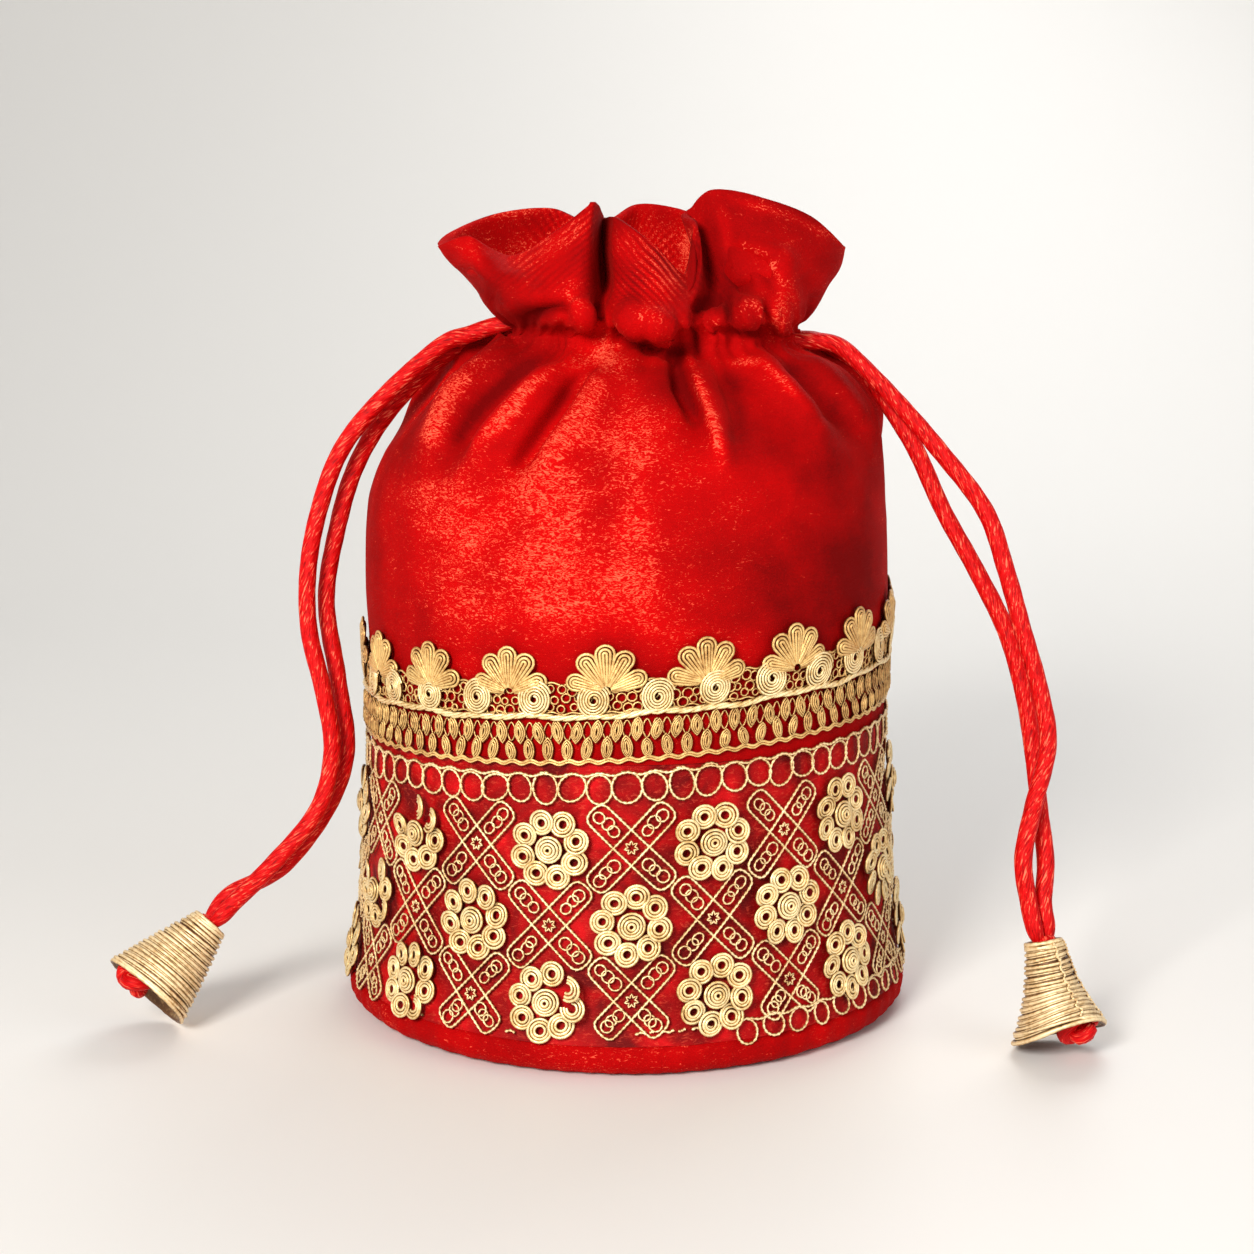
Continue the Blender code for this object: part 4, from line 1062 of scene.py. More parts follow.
def shine_and_shade_tone(points, normal):
    """Painted sheen where the pile lies flat and shines, and painted shade in the folds and at the right."""
    across, down = view_place(points)
    front = facing_front(points, normal)
    tone = np.full(points.shape[:2], PLAIN_TONE)
    for line, width, strength in SHINE_LINES:
        tone += front * strength * line_weight(across, down, line, width)
    # Stripes of painted sheen and painted shade
    for (middle_x, middle_y), width, slant in STRIPES:
        turn = math.radians(slant)
        side = -(across - middle_x) * math.sin(turn) + (down - middle_y) * math.cos(turn)
        side = side + 3.2 * noise(points, 0.012) + 1.2 * noise(points, 0.004)
        region = np.exp(-((across - middle_x) ** 2 + (down - middle_y) ** 2) / width ** 2)
        uneven = 0.45 + 0.55 * noise(points, 0.009)
        tone += front * region * uneven * np.sin(side * 2.0 * np.pi / STRIPE_PITCH)
    back = 1.0 - smoothstep(-0.05, 0.04, -points[..., 1])
    tone += 0.30 * back + 0.26 * noise(points, 0.020) + 0.12 * noise(points, 0.007)
    tone = np.where(tone > LEVEL_TONE, LEVEL_TONE + LEVEL_SHARE * (tone - LEVEL_TONE), tone)
    # Painted shade in the grooves of the drawn folds
    for line, width, depth in FOLD_LINES:
        if depth < 0.0:
            tone += front * FOLD_SHADE * depth * line_weight(across, down, line, 0.8 * width)
    return tone


def neck_push(points):
    """Depth in metres of the small pleats at the neck and the cloth's unevenness."""
    height = points[..., 2]
    turn = np.radians(ANGLES)[None]
    near_neck = np.exp(-(np.abs(height - NECK_HEIGHT) / 0.0070) ** 2)
    pleat = np.sin(27 * turn + 1.9 * np.sin(4 * turn)) + 0.5 * np.sin(61 * turn + 2.0)
    push = 0.62 * MM * pleat * near_neck
    push -= 0.9 * MM * np.exp(-((height - NECK_HEIGHT - 0.0016) / 0.0011) ** 2)
    soft = smoothstep(0.105, 0.150, height)
    push += 0.55 * MM * noise(points, 0.013) * soft + 0.14 * MM * noise(points, 0.0045) * soft
    return push + 0.25 * MM * noise(points, 0.030)


def fold_push(points, normal):
    """Depth in metres of the drawn folds and of the gathers beside them."""
    across, down = view_place(points)
    front = facing_front(points, normal)
    height = points[..., 2]
    push = np.zeros(points.shape[:2])
    for line, width, depth in FOLD_LINES:
        push += depth * MM * line_weight(across, down, line, width)
    push *= front * (1.0 - smoothstep(-0.5, 0.5, (height - 0.2005) / 0.006))
    ahead = 1.0 - smoothstep(0.010, 0.030, points[..., 1])
    push += SHOULDER_PUSH * MM * ahead * line_weight(across, down, SHOULDER_LINE, SHOULDER_WIDTH)
    return push + 1.1 * gather_push(ANGLES[None], height) * (1.0 - front)


def cloth_positions(rows, turn, start=0.0):
    """Place of each point on the smooth cloth, which the pile's noise follows."""
    runs = np.linalg.norm(np.diff(rows, axis=0), axis=-1).mean(axis=1)
    along = np.concatenate([[0.0], np.cumsum(runs)]) + start
    return np.stack(np.broadcast_arrays(SHOULDER_RADIUS * np.sin(turn)[None],
                                        SHOULDER_RADIUS * np.cos(turn)[None], along[:, None]),
                    axis=-1)


def build_velvet():
    body, frill, lip, inner = velvet_rows()
    outer = np.concatenate([body, frill])
    normal = surface_normals(outer)
    seam_fade = smoothstep(SEAM_HEIGHT, SEAM_HEIGHT + 0.006, outer[..., 2])
    outer = outer + normal * ((neck_push(outer) + fold_push(outer, normal)) * seam_fade)[..., None]
    crumple = inner + 0.35 * MM * np.stack([noise(inner, 0.009), noise(inner[..., ::-1], 0.009),
                                            0.0 * inner[..., 0]], axis=-1)
    rows = np.concatenate([outer, lip, crumple])
    piece = make_mesh("velvet_cloth", rows, grid_quads(len(rows), CLOTH_SIDES), VELVET,
                      tone=shine_and_shade_tone(rows, surface_normals(rows)),
                      place=cloth_positions(rows, np.radians(ANGLES), SEAM_HEIGHT))
    settle(piece, "velvet", "velvet_top")
    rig.sheet(piece, flat=(0.445, 0.185), held="gathered", rests_on=["lining_cloth"])


build_velvet()


# Lower panel, base and lining
PANEL_COLUMNS = 300
LINING_COLUMNS = 240
CARD_COLUMNS = 120


def tube_piece(name, rows, finish, slot, flat, held, area, *nodes):
    """Cloth of closed rows, laid on the base's board."""
    columns = rows.shape[1]
    # The tone sets how much painted sheen the velvet base shows; the panel and lining don't use it
    piece = make_mesh(name, rows, grid_quads(len(rows), columns), finish,
                      place=cloth_positions(rows, np.radians(even_angles(columns))),
                      tone=-0.36 + 0.20 * noise(rows, 0.02))
    settle(piece, slot, *nodes)
    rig.sheet(piece, flat=flat, held=held, area=area, rests_on=["base_card_board"])


def build_panel():
    angles = even_angles(PANEL_COLUMNS)
    heights = np.linspace(BASE_EDGE_HEIGHT + 0.0003, SEAM_HEIGHT + 0.0040, 60)
    rows = bag_point(angles[None], heights[:, None], -0.0002, gathered=False)
    pucker = 0.30 * MM * noise(rows, 0.008) + 0.25 * MM * noise(rows, 0.020)
    rows = rows + ellipse(angles, 1.0, 1.0, 0.0)[None] * (pucker - 0.0003)[..., None]
    hem = heights[[-1, -3, -5]]
    inside = bag_point(angles[None], hem[:, None], -PANEL_THICKNESS, gathered=False)
    tube_piece("panel_cloth", np.concatenate([rows, inside]), PANEL, "panel",
               (0.465, 0.076), "stretched", None, "embroidered_panel")


def build_base():
    angles = even_angles(PANEL_COLUMNS)
    turn = np.radians(angles)
    outline = [(0.0006, 0.0), (0.02, 0.0), (0.5 * BASE_FLAT_RADIUS, 0.0), (BASE_FLAT_RADIUS, 0.0)]
    edge = BASE_RADIUS - BASE_FLAT_RADIUS
    for step in range(1, 13):
        bend = math.radians(90) * step / 12
        outline.append((BASE_FLAT_RADIUS + edge * math.sin(bend),
                        (1.0 - math.cos(bend)) * 0.6 * BASE_EDGE_HEIGHT))
    outline += [(BASE_RADIUS + 0.0002, 0.8 * BASE_EDGE_HEIGHT),
                (BASE_RADIUS - 0.0004, BASE_EDGE_HEIGHT + 0.0002),
                (BASE_RADIUS - 0.0016, BASE_EDGE_HEIGHT + 0.0004)]
    rows = []
    for radius, height in outline:
        ring = ellipse(angles, radius, radius, height)
        if height > 0.0003:
            ripple = np.sin(70 * turn + 3 * np.sin(4 * turn))
            swell = 0.35 * MM * noise(ring, 0.009) + 0.25 * MM * ripple
            ring[:, :2] *= (1.0 + swell / BASE_RADIUS)[:, None]
        rows.append(ring)
    tube_piece("base_velvet", np.array(rows), VELVET, "velvet",
               (0.176, 0.176), "stretched", 0.0243, "base_cover")


def build_lining():
    angles = even_angles(LINING_COLUMNS)
    wall = PANEL_THICKNESS + 0.0008
    ease = GATHER_DEPTH + 0.0040
    stations = ((0.012, wall), (0.030, wall), (0.075, wall + 0.0006), (0.120, wall + 0.0006),
                (0.136, wall + 0.5 * ease), (0.150, wall + ease), (0.159, wall + ease + 0.0010))
    rows = [bag_point(angles, height, -inset, gathered=False) for height, inset in stations]
    rows.append(neck_ellipse(angles, 0.1684, INNER_INSET))
    rows = spline(np.array(rows), 5)
    corner = bag_point(angles, BASE_EDGE_HEIGHT, -0.0070, gathered=False)
    corner[:, 2] = 0.0048
    floor = np.array([corner * (share, share, 1.0) for share in (0.008, 0.25, 0.5, 0.75, 1.0)])
    floor[..., 2] += 0.15 * MM * noise(floor, 0.012)
    rows = np.concatenate([floor[-1:], rows])
    ripple = 0.5 * MM * np.sin(26 * np.radians(angles))[None] * smoothstep(0.14, 0.165, rows[..., 2])
    rows[..., :2] *= 1.0 - (np.abs(ripple) / 0.05)[..., None]
    tube_piece("lining_cloth", rows, LINING, "lining",
               (0.430, 0.165), "gathered", None, "lining")
    tube_piece("lining_floor", floor, LINING, "lining", (0.136, 0.136), "laid", 0.0145, "lining")


def build_card():
    """Stiff board of the base, with softened edges."""
    low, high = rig.box("base_card")
    radius = 0.5 * (high[0] - low[0])
    soft = 0.0003
    outline = ((0.0005, low[2]), (0.5 * radius, low[2]), (radius - soft, low[2]),
               (radius, low[2] + soft), (radius, high[2] - soft), (radius - soft, high[2]),
               (0.5 * radius, high[2]), (0.0005, high[2]))
    rows = [ellipse(even_angles(CARD_COLUMNS), at, at, height) for at, height in outline]
    piece = make_mesh("base_card_board", rows,
                      grid_quads(len(rows), CARD_COLUMNS, close_rows=True), CARD)
    settle(piece, "card", "base_card")


build_panel()
build_base()
build_lining()
build_card()


# Gold lace round the waist
LACE_ROPE_HEIGHT = 0.0903
SHELL_COUNT = 18
SHELL_BASE_HEIGHT = 0.0965
SHELL_PHASE = -4.0
SHELL_THREAD = 0.00043
SHELL_RINGS = (1.0, 0.58, 0.20)
SHELL_LOBES = (
    # lean in degrees, length and half width of the lobe
    (-72, 0.0098, 0.00200), (-33, 0.0109, 0.00225), (-2, 0.0115, 0.00218),
    (29, 0.0108, 0.00225), (70, 0.0098, 0.00210),
)
NET_PITCH = 0.00262
NET_RING_RADIUS = 0.00112
NET_THREAD = 0.00027
DISC_COUNT = 29
DISC_HEIGHT = 0.0948
DISC_PHASE = 5.3
LEAF_COUNT = 90
LEAF_BOTTOM = 0.0793
LEAF_THREAD = 0.00031


def circle(radius, steps):
    turn = 2.0 * np.pi * np.arange(steps) / steps
    return radius * np.sin(turn), radius * np.cos(turn)


def spiral(inner, outer, turns, steps):
    turn = 2.0 * np.pi * np.linspace(0.0, turns, int(turns * steps))
    radius = np.linspace(inner, outer, len(turn))
    return radius * np.sin(turn), radius * np.cos(turn)


def leaned(across, along, lean):
    """A flat design leaned to the right."""
    return (across * math.cos(lean) + along * math.sin(lean),
            along * math.cos(lean) - across * math.sin(lean))


def petal_loop(length, width, foot, steps=9):
    """Round-ended loop from a narrow foot: (across, along) points."""
    turn = np.linspace(-np.pi * 0.5, np.pi * 0.5, steps)
    tip_across = width * np.sin(turn)
    tip_along = length - width + width * np.cos(turn)
    across = np.concatenate([[-0.30 * width, -0.72 * width], tip_across, [0.72 * width, 0.30 * width]])
    along = np.concatenate([[foot, 0.45 * length], tip_along, [0.45 * length, foot]])
    return across, along


def leaf_loop(length, width, point, steps=8):
    """Pointed oval: (across, up) round a leaf of that length."""
    t = np.linspace(0.0, 1.0, steps)
    half = width * np.sin(np.pi * t) ** point
    across = np.concatenate([-half, half[::-1][1:-1]])
    up = np.concatenate([t, t[::-1][1:-1]]) * length
    return across, up


def band_line(threads, around, height, up, lift, radius, sides=4):
    """A thread that runs right round the bag."""
    path, normal = laid(around, height, 0.0 * around, up, lift, LACE_TILT)
    threads.add(path, normal, radius, sides=sides, closed=True)


def build_shells():
    threads = Threads()
    places = even_angles(SHELL_COUNT) + SHELL_PHASE
    for lean, length, width in SHELL_LOBES:
        for ring, share in enumerate(SHELL_RINGS):
            across, along = petal_loop(length - width * (1.0 - share), width * share, 0.0012)
            x, y = leaned(across, along, math.radians(lean))
            lift = 0.0009 + 0.0004 * np.sin(np.pi * np.clip(along / length, 0, 1)) + 0.0002 * ring
            path, normal = laid(places[:, None], SHELL_BASE_HEIGHT, x[None], 0.96 * y[None],
                                lift[None], LACE_TILT)
            threads.add(path, normal, SHELL_THREAD)
    threads.build("scallop_shells", LACE_GOLD, "scallop_lace")


def build_net():
    """Openwork under the shells."""
    threads = Threads()
    count = int(round(2.0 * math.pi * WAIST_RADIUS / NET_PITCH))
    rng = np.random.default_rng(23)
    x, y = circle(NET_RING_RADIUS, 9)
    for row in range(3):
        places = even_angles(count) + (row % 2) * 180.0 / count
        size = rng.uniform(0.72, 1.22, (count, 1))
        aside, above = rng.uniform(-0.00055, 0.00055, (2, count, 1))
        lift = 0.0003 + rng.uniform(0.0, 0.0005, (count, 1))
        path, normal = laid(places[:, None], 0.0922 + row * 0.0023, size * x[None] + aside,
                            size * y[None] + above, lift, LACE_TILT)
        threads.add(path, normal, NET_THREAD, sides=4, closed=True)
    around = even_angles(1200)
    turn = np.radians(around)
    for height in (0.0911, 0.0984):
        wave = 0.00025 * np.sin(turn * 90) + 0.0002 * np.sin(turn * 37)
        band_line(threads, around, height, wave, 0.0004, 0.00032)
    threads.build("lace_net", LACE_GOLD)


def build_discs():
    """Coiled discs between the shells and the net."""
    threads = Threads()
    rng = np.random.default_rng(11)
    for angle in even_angles(DISC_COUNT) + DISC_PHASE:
        size = rng.uniform(0.98, 1.12)
        tip = rng.uniform(-0.10, 0.10, 2)
        x, y = spiral(0.0007, 0.0043 * size, 5.2, 22)
        lift = 0.0013 + 0.0003 * np.cos(np.pi * np.hypot(x, y) / 0.009) + tip[0] * x + tip[1] * y
        shift = rng.uniform(-0.0006, 0.0006)
        oval = rng.uniform(0.92, 1.06)
        path, normal = laid(angle + rng.uniform(-1.0, 1.0), DISC_HEIGHT, oval * x, y / oval + shift,
                            lift, LACE_TILT)
        threads.add(path, normal, 0.00036)
    threads.build("lace_discs", GOLD)


def build_rope():
    """Rope of three strands that sags between the discs."""
    threads = Threads()
    around = even_angles(1500)
    twist = np.radians(around) * 47
    sag = np.radians(around - DISC_PHASE) * DISC_COUNT
    wobble = 0.0003 * np.sin(np.radians(around) * 13) + 0.00025 * np.cos(sag)
    for start in (0.0, 2.1, 4.2):
        band_line(threads, around, LACE_ROPE_HEIGHT, 0.00036 * np.sin(twist + start) + wobble,
                  0.0009 + 0.00030 * np.cos(twist + start), 0.00054, sides=5)
    threads.build("lace_rope", GOLD)


def build_leaves():
    threads = Threads()
    places = even_angles(LEAF_COUNT)
    rows = ((LEAF_BOTTOM + 0.0002, 0.0053, 0.00120, 0.62, 0.0),
            (LEAF_BOTTOM + 0.0044, 0.0056, 0.00130, 0.90, 180.0 / LEAF_COUNT))
    rng = np.random.default_rng(31)
    for foot, length, width, point, shift in rows:
        size = rng.uniform(0.88, 1.08, (LEAF_COUNT, 1))
        lean = rng.uniform(-0.22, 0.22, (LEAF_COUNT, 1))
        for ring in range(3):
            share = 1.0 - ring * 0.34
            tall = 0.35 + 0.65 * share
            x, y = leaf_loop(length * tall, width * share, point)
            y = y + 0.5 * length * (1.0 - tall)
            path, normal = laid((places + shift)[:, None], foot, x[None] + lean * (y - 0.5 * length),
                                size * y[None], 0.0006 + 0.0003 * ring, LACE_TILT)
            threads.add(path, normal, LEAF_THREAD, sides=4, closed=True)
    around = even_angles(LEAF_COUNT * 12)
    phase = np.radians(around) * LEAF_COUNT
    for sign in (1, -1):
        band_line(threads, around, LEAF_BOTTOM + 0.0072, sign * 0.0023 * np.cos(phase),
                  0.0002, 0.00022)
    for height, size in ((LEAF_BOTTOM, 0.00040), (LEAF_BOTTOM - 0.0006, 0.00030)):
        band_line(threads, around, height, 0.00035 * np.sin(phase + 1.0), 0.0004, size, sides=5)
    threads.build("leaf_rows", LACE_GOLD, "leaf_lace")


# Chain stitch: a thread whose thickness swells once for each stitch
STITCH = 0.00132
STITCH_THREAD = 0.00041
STITCH_SWELL = (0.62, 1.15, 1.0)


def stitched(path, normal, threads, radius=STITCH_THREAD, closed=True):
    """Chain-stitched line along a fine path."""
    if closed:
        path, normal = (np.concatenate([line, line[:1]]) for line in (path, normal))
    lengths = run_lengths(path)
    stitches = max(3, int(round(lengths[-1] / STITCH)))
    marks = np.linspace(0.0, lengths[-1], 3 * stitches, endpoint=not closed)
    threads.add(at_marks(path, lengths, marks), at_marks(normal, lengths, marks),
                radius * np.tile(STITCH_SWELL, stitches), sides=4, closed=closed)


# Chains of rings above and below the flowers: middle height, rings in a whole
# turn, their radius, tilt, and where the chain starts and ends in degrees
CHAINS = (
    ("upper_chain", 0.0722, 65, 0.0036, ROW_TILT + 0.0006, 0.0, 360.0),
    ("lower_chain", 0.0094, 62, 0.0028, ROW_TILT, 19.0, 262.0),
)
# Short runs of the lower chain that are left at the front, in degrees
BROKEN_STITCHES = ((1.5, 3.6), (4.2, 5.0), (6.5, 8.8), (9.6, 11.0), (12.2, 14.6), (15.0, 17.6),
                   (-23.5, -21.5), (-47.0, -43.0))


def build_borders():
    rng = np.random.default_rng(5)
    for name, height, count, radius, tilt, first, last in CHAINS:
        threads = Threads()
        for angle in even_angles(count):
            wobble = rng.uniform(-0.0004, 0.0004, 4)
            if not first <= angle < last:
                continue
            x, y = circle(1.0, 24)
            x = x * (0.95 * radius + wobble[0]) + 1.2 * wobble[3] * y
            y = y * (radius + wobble[1])
            path, normal = laid(angle, height + wobble[2], x, y, 0.0002, tilt)
            stitched(path, normal, threads)
        around = np.linspace(first, last, int((last - first) / 360.0 * count * 10), endpoint=False)
        dip = -0.0007 * np.sin(0.5 * np.radians(around) * count) ** 2
        path, normal = laid(around, height + radius + 0.0002, 0.0 * around, dip, 0.0004, tilt)
        stitched(path, normal, threads, closed=last - first == 360.0)
        for start, end in BROKEN_STITCHES if first else ():
            around = np.linspace(start, end, 12)
            path, normal = laid(around, height + radius - 0.0004, 0.0 * around,
                                0.0002 * np.sin(around * 3.0), 0.0003, tilt)
            stitched(path, normal, threads, closed=False)
        threads.build(name, PALE_GOLD)


def flower_angle(row, index):
    shift = 0.5 * (row % 2)
    return FRONT_FLOWER_ANGLE + (index + shift) * 360.0 / FLOWER_COUNT


PETALS = 8
PETAL_RING = 0.0070
PETAL_RADII = (0.00130, 0.00208, 0.00284)
PETAL_LIFT = 0.00085
PETAL_LEAN = 0.13
# Radius and lift of each ring of the raised coil in the middle
MIDDLE_RINGS = ((0.00076, 0.0022), (0.00154, 0.0021), (0.00231, 0.0018), (0.00306, 0.0014))
FLOWER_THREAD = 0.00043
RING_STEPS = 20
# Coils that have come loose or gone, as (row, flower, petal): share kept, lift
WORN_PETALS = {
    (0, 10, 7): (0.0, 0.0), (0, 10, 0): (0.45, 0.0006), (0, 10, 1): (0.6, 0.0004),
    (1, 9, 7): (0.0, 0.0), (1, 9, 6): (0.5, 0.0004), (1, 9, 2): (0.55, 0.0005),
    (2, 0, 1): (0.55, 0.0016), (2, 0, 2): (0.75, 0.0010), (2, 10, 3): (0.6, 0.0004),
}


def add_petal(threads, rng, angle, height, turn, kept, loose):
    """One flat coil, which leans over the next one like a scale in a ring."""
    ring = PETAL_RING * rng.uniform(0.96, 1.03)
    tip = rng.uniform(-0.10, 0.10, 2)
    squash = rng.uniform(0.93, 1.04)
    slip = rng.uniform(-0.00010, 0.00010, (len(PETAL_RADII), 2))
    lean_x = tip[0] + PETAL_LEAN * math.cos(turn) + 300.0 * loose
    lean_y = tip[1] - PETAL_LEAN * math.sin(turn)
    count = RING_STEPS if kept == 1.0 else int(kept * RING_STEPS) + 1
    if count < 4:
        return
    for radius, (slip_x, slip_y) in zip(PETAL_RADII, slip):
        x, y = (part[:count] for part in circle(radius, RING_STEPS))
        x, y = x * squash + slip_x, y + slip_y
        lift = np.maximum(PETAL_LIFT + loose + lean_x * x + lean_y * y, 0.0003)
        path, normal = laid(angle, height, ring * math.sin(turn) + x, ring * math.cos(turn) + y,
                            lift, ROW_TILT)
        threads.add(path, normal, FLOWER_THREAD, closed=kept == 1.0)


def build_flowers():
    """Flowers of eight flat coils round a raised one."""
    rng = np.random.default_rng(23)
    for row, height in enumerate(ROW_HEIGHTS):
        for index in range(FLOWER_COUNT):
            angle = flower_angle(row, index)
            threads = Threads()
            turned = rng.uniform(0.0, 0.7)
            for petal in range(PETALS):
                kept, loose = WORN_PETALS.get((row, index, petal), (1.0, 0.0))
                add_petal(threads, rng, angle, height, turned + 2.0 * math.pi * petal / PETALS,
                          kept, loose)
            tip = rng.uniform(-0.06, 0.06, 2)
            for radius, lift in MIDDLE_RINGS:
                x, y = circle(radius, RING_STEPS)
                path, normal = laid(angle, height, x, y, lift + tip[0] * x + tip[1] * y, ROW_TILT)
                threads.add(path, normal, FLOWER_THREAD, closed=True)
            threads.build(f"flower_{row + 1}_{index + 1:02d}", GOLD,
                          f"rosette_r{row + 1}_c{index + 1:02d}")


CROSS_HALF_LENGTH = 0.0134
CROSS_HALF_WIDTH = 0.0031
CROSS_LEAN = 43.5
# The lowest row's arms are shorter below their crossing
LOW_ARM_SHARE = 0.80
CROSS_RING_THREAD = 0.00031


def capsule(half_length, half_width, steps=14):
    """Outline of a long shape with blunt, rounded ends, along its own length."""
    turn = np.linspace(-0.5 * np.pi, 0.5 * np.pi, steps)
    end_along = half_width * np.abs(np.cos(turn)) ** 0.62
    end_across = half_width * np.sign(np.sin(turn)) * np.abs(np.sin(turn)) ** 0.80
    straight = half_length - half_width
    run = np.linspace(-1.0, 1.0, 12)[1:-1] * straight
    along = np.concatenate([straight + end_along, run[::-1], -straight - end_along, run])
    across = np.concatenate([end_across, np.full(10, half_width), -end_across,
                             np.full(10, -half_width)])
    return along, across


def build_crosses():
    threads = Threads()
    rng = np.random.default_rng(31)

    def add_line(angle, height, across, along, lean, sign, lift, radius):
        x, y = leaned(across, along, lean)
        path, normal = laid(angle, height, sign * x, y, lift, ROW_TILT)
        stitched(path, normal, threads, radius)

    for row, height in enumerate(ROW_HEIGHTS):
        low_share = LOW_ARM_SHARE if row == 2 else 1.0
        for index in range(FLOWER_COUNT):
            angle = flower_angle(row, index + 0.5)
            for sign in (1, -1):
                along, across = capsule(CROSS_HALF_LENGTH, CROSS_HALF_WIDTH)
                along = np.where(along < 0, along * low_share, along)
                lean = math.radians(CROSS_LEAN + rng.uniform(-1.0, 1.0))
                add_line(angle, height, across, along, lean, sign, 0.0002, STITCH_THREAD)
                for place in (-3, -2, -1, 1, 2, 3):
                    centre = math.copysign(0.0036 + 0.00235 * abs(place), place)
                    if place < 0:
                        centre *= low_share
                    centre += rng.uniform(-0.0003, 0.0003)
                    aside = rng.uniform(-0.0003, 0.0003)
                    across, along = circle(1.0, 14)
                    across = aside + across * 0.00145 * rng.uniform(0.85, 1.1)
                    along = centre + along * 0.00155 * rng.uniform(0.9, 1.1)
                    add_line(angle, height, across, along, lean, sign,
                             0.0002 + 0.0002 * (place % 2), CROSS_RING_THREAD)
            turn = np.radians(even_angles(28))
            star = 0.00125 + 0.00045 * np.cos(7 * turn)
            path, normal = laid(angle, height, star * np.sin(turn), star * np.cos(turn),
                                0.0002, ROW_TILT)
            threads.add(path, normal, 0.00028, sides=4, closed=True)
    threads.build("chain_crosses", PALE_GOLD, "cross_lattice")


build_shells()
build_net()
build_discs()
build_rope()
build_leaves()
build_borders()
build_flowers()
build_crosses()


# Tassel cones and knots
CONE_TURNS = 15
CONE_TURN_STEPS = 44
CONE_THREAD = 0.00060
CONE_COLUMNS = 48
# Where each mouth is worn back: angle round the cone, half width and lift
MOUTH_CUTS = {"left": (0.40, 1.5, 0.0022), "right": (1.75, 1.15, 0.0040)}
# How far each cone's side bends in (more than 0) or out at half its length
CONE_WAISTS = {"left": -0.0005, "right": 0.0012}
# Angles of the beaded threads that run down each cone
CONE_RIBS = {"left": (2.85,), "right": (0.85, 1.75, 5.2)}
# Cone's inner body: distance down it and inset from the winding, in millimetres
CONE_BODY = ((0.2, 1.35), (0.2, 0.45), (0.5, 0.4), (8.0, 0.4), (16.0, 0.4), (20.0, 0.4),
             (24.2, 0.4), (24.3, 0.9), (20.0, 1.1), (12.0, 1.1), (1.0, 1.1))


def cone_space(top, axis):
    """Map from round-the-axis places to the world."""
    down, level, other = (np.array(v) for v in axis_frame(axis))
    top = np.array(top)

    def place(along, turn, radius):
        out = level * np.cos(turn)[..., None] + other * np.sin(turn)[..., None]
        return top + down * np.asarray(along)[..., None] + out * np.asarray(radius)[..., None], out
    return place


def cone_radius(hand, along, turn):
    share = along / CONE_LENGTH
    base = CONE_TOP_RADIUS + (CONE_MOUTH_RADIUS - CONE_TOP_RADIUS) * share
    base = base - CONE_WAISTS[hand] * np.sin(np.pi * share)
    rib = 0.030 * np.cos(3 * turn + 0.6) + 0.018 * np.cos(4 * turn)
    return base * (1.0 + rib * share) - CONE_THREAD


def mouth_cut(hand, along, turn):
    """Distance along the cone once its worn mouth is drawn back."""
    middle, width, lift = MOUTH_CUTS[hand]
    away = (turn - middle + np.pi) % (2.0 * np.pi) - np.pi
    bell = np.exp(-(away / width) ** 2)
    return along - lift * bell * smoothstep(0.30 * CONE_LENGTH, CONE_LENGTH, along)


def build_cone(hand, top, axis):
    """Cone of wound thread on a thin body, open at its mouth."""
    place = cone_space(top, axis)
    threads = Threads()

    def wind(along, turn, lift, radius, sides, flat=1.0, closed=False):
        along, turn = np.broadcast_arrays(np.asarray(along, float), turn)
        size = cone_radius(hand, along, turn) + lift
        path, out = place(mouth_cut(hand, along, turn), turn, size)
        rough = 1.0 + 0.20 * noise(path, 0.0013)
        path = path + out * (0.00012 * noise(path, 0.0016))[:, None]
        threads.add(path, out, radius * rough, sides=sides, flat=flat, closed=closed)

    steps = CONE_TURNS * CONE_TURN_STEPS
    turn = 2.0 * np.pi * np.linspace(0.0, CONE_TURNS, steps)
    for shift, radius, lift in ((0.0, 0.84, 0.00008), (0.75 * MM, 0.44, -0.00022)):
        along = np.linspace(0.6 * MM, CONE_LENGTH - 1.4 * MM, steps) + shift
        along = along + 0.00016 * np.sin(turn * 0.37) + 0.00010 * np.sin(turn * 1.3)
        wind(along, turn, lift, radius * CONE_THREAD, 6, flat=0.95)
    around = np.radians(even_angles(72))
    slant = CONE_LENGTH - 1.7 * MM + 0.9 * MM * np.sin(around + 0.8)
    for along, lift, radius in ((0.3 * MM, 0.0, 0.9), (1.2 * MM + 0.4 * MM * np.sin(around), 0.0, 0.9),
                                (CONE_LENGTH - 0.3 * MM, 0.0001, 1.0), (slant, 0.0004, 0.75)):
        wind(along, around, lift, radius * CONE_THREAD, 8, closed=True)
    for rib in CONE_RIBS[hand]:
        along = np.linspace(0.4 * MM, CONE_LENGTH - 0.4 * MM, 130)
        beads = 0.00040 + 0.00016 * np.sin(along / MM * 2.0 * np.pi / 0.8)
        wind(along, rib + 0.05 * np.sin(along / MM * 2.0), 0.00040, beads, 6)
    winding = threads.build(f"{hand}_cone_winding", CONE_GOLD, f"{hand}_tassel_cone")
    around = np.linspace(0.0, 2.0 * np.pi, CONE_COLUMNS + 1)
    rows = []
    for at, inset in CONE_BODY:
        along = np.full(len(around), at * MM)
        size = cone_radius(hand, along, around) - inset * MM
        rows.append(place(mouth_cut(hand, along, around), around, size)[0])
    quads = grid_quads(len(rows), len(around), close_rows=True, close_columns=False)
    liner = make_mesh(f"{hand}_cone_body", rows, quads, CONE_GOLD)
    return winding, settle(liner, "gold_thread")


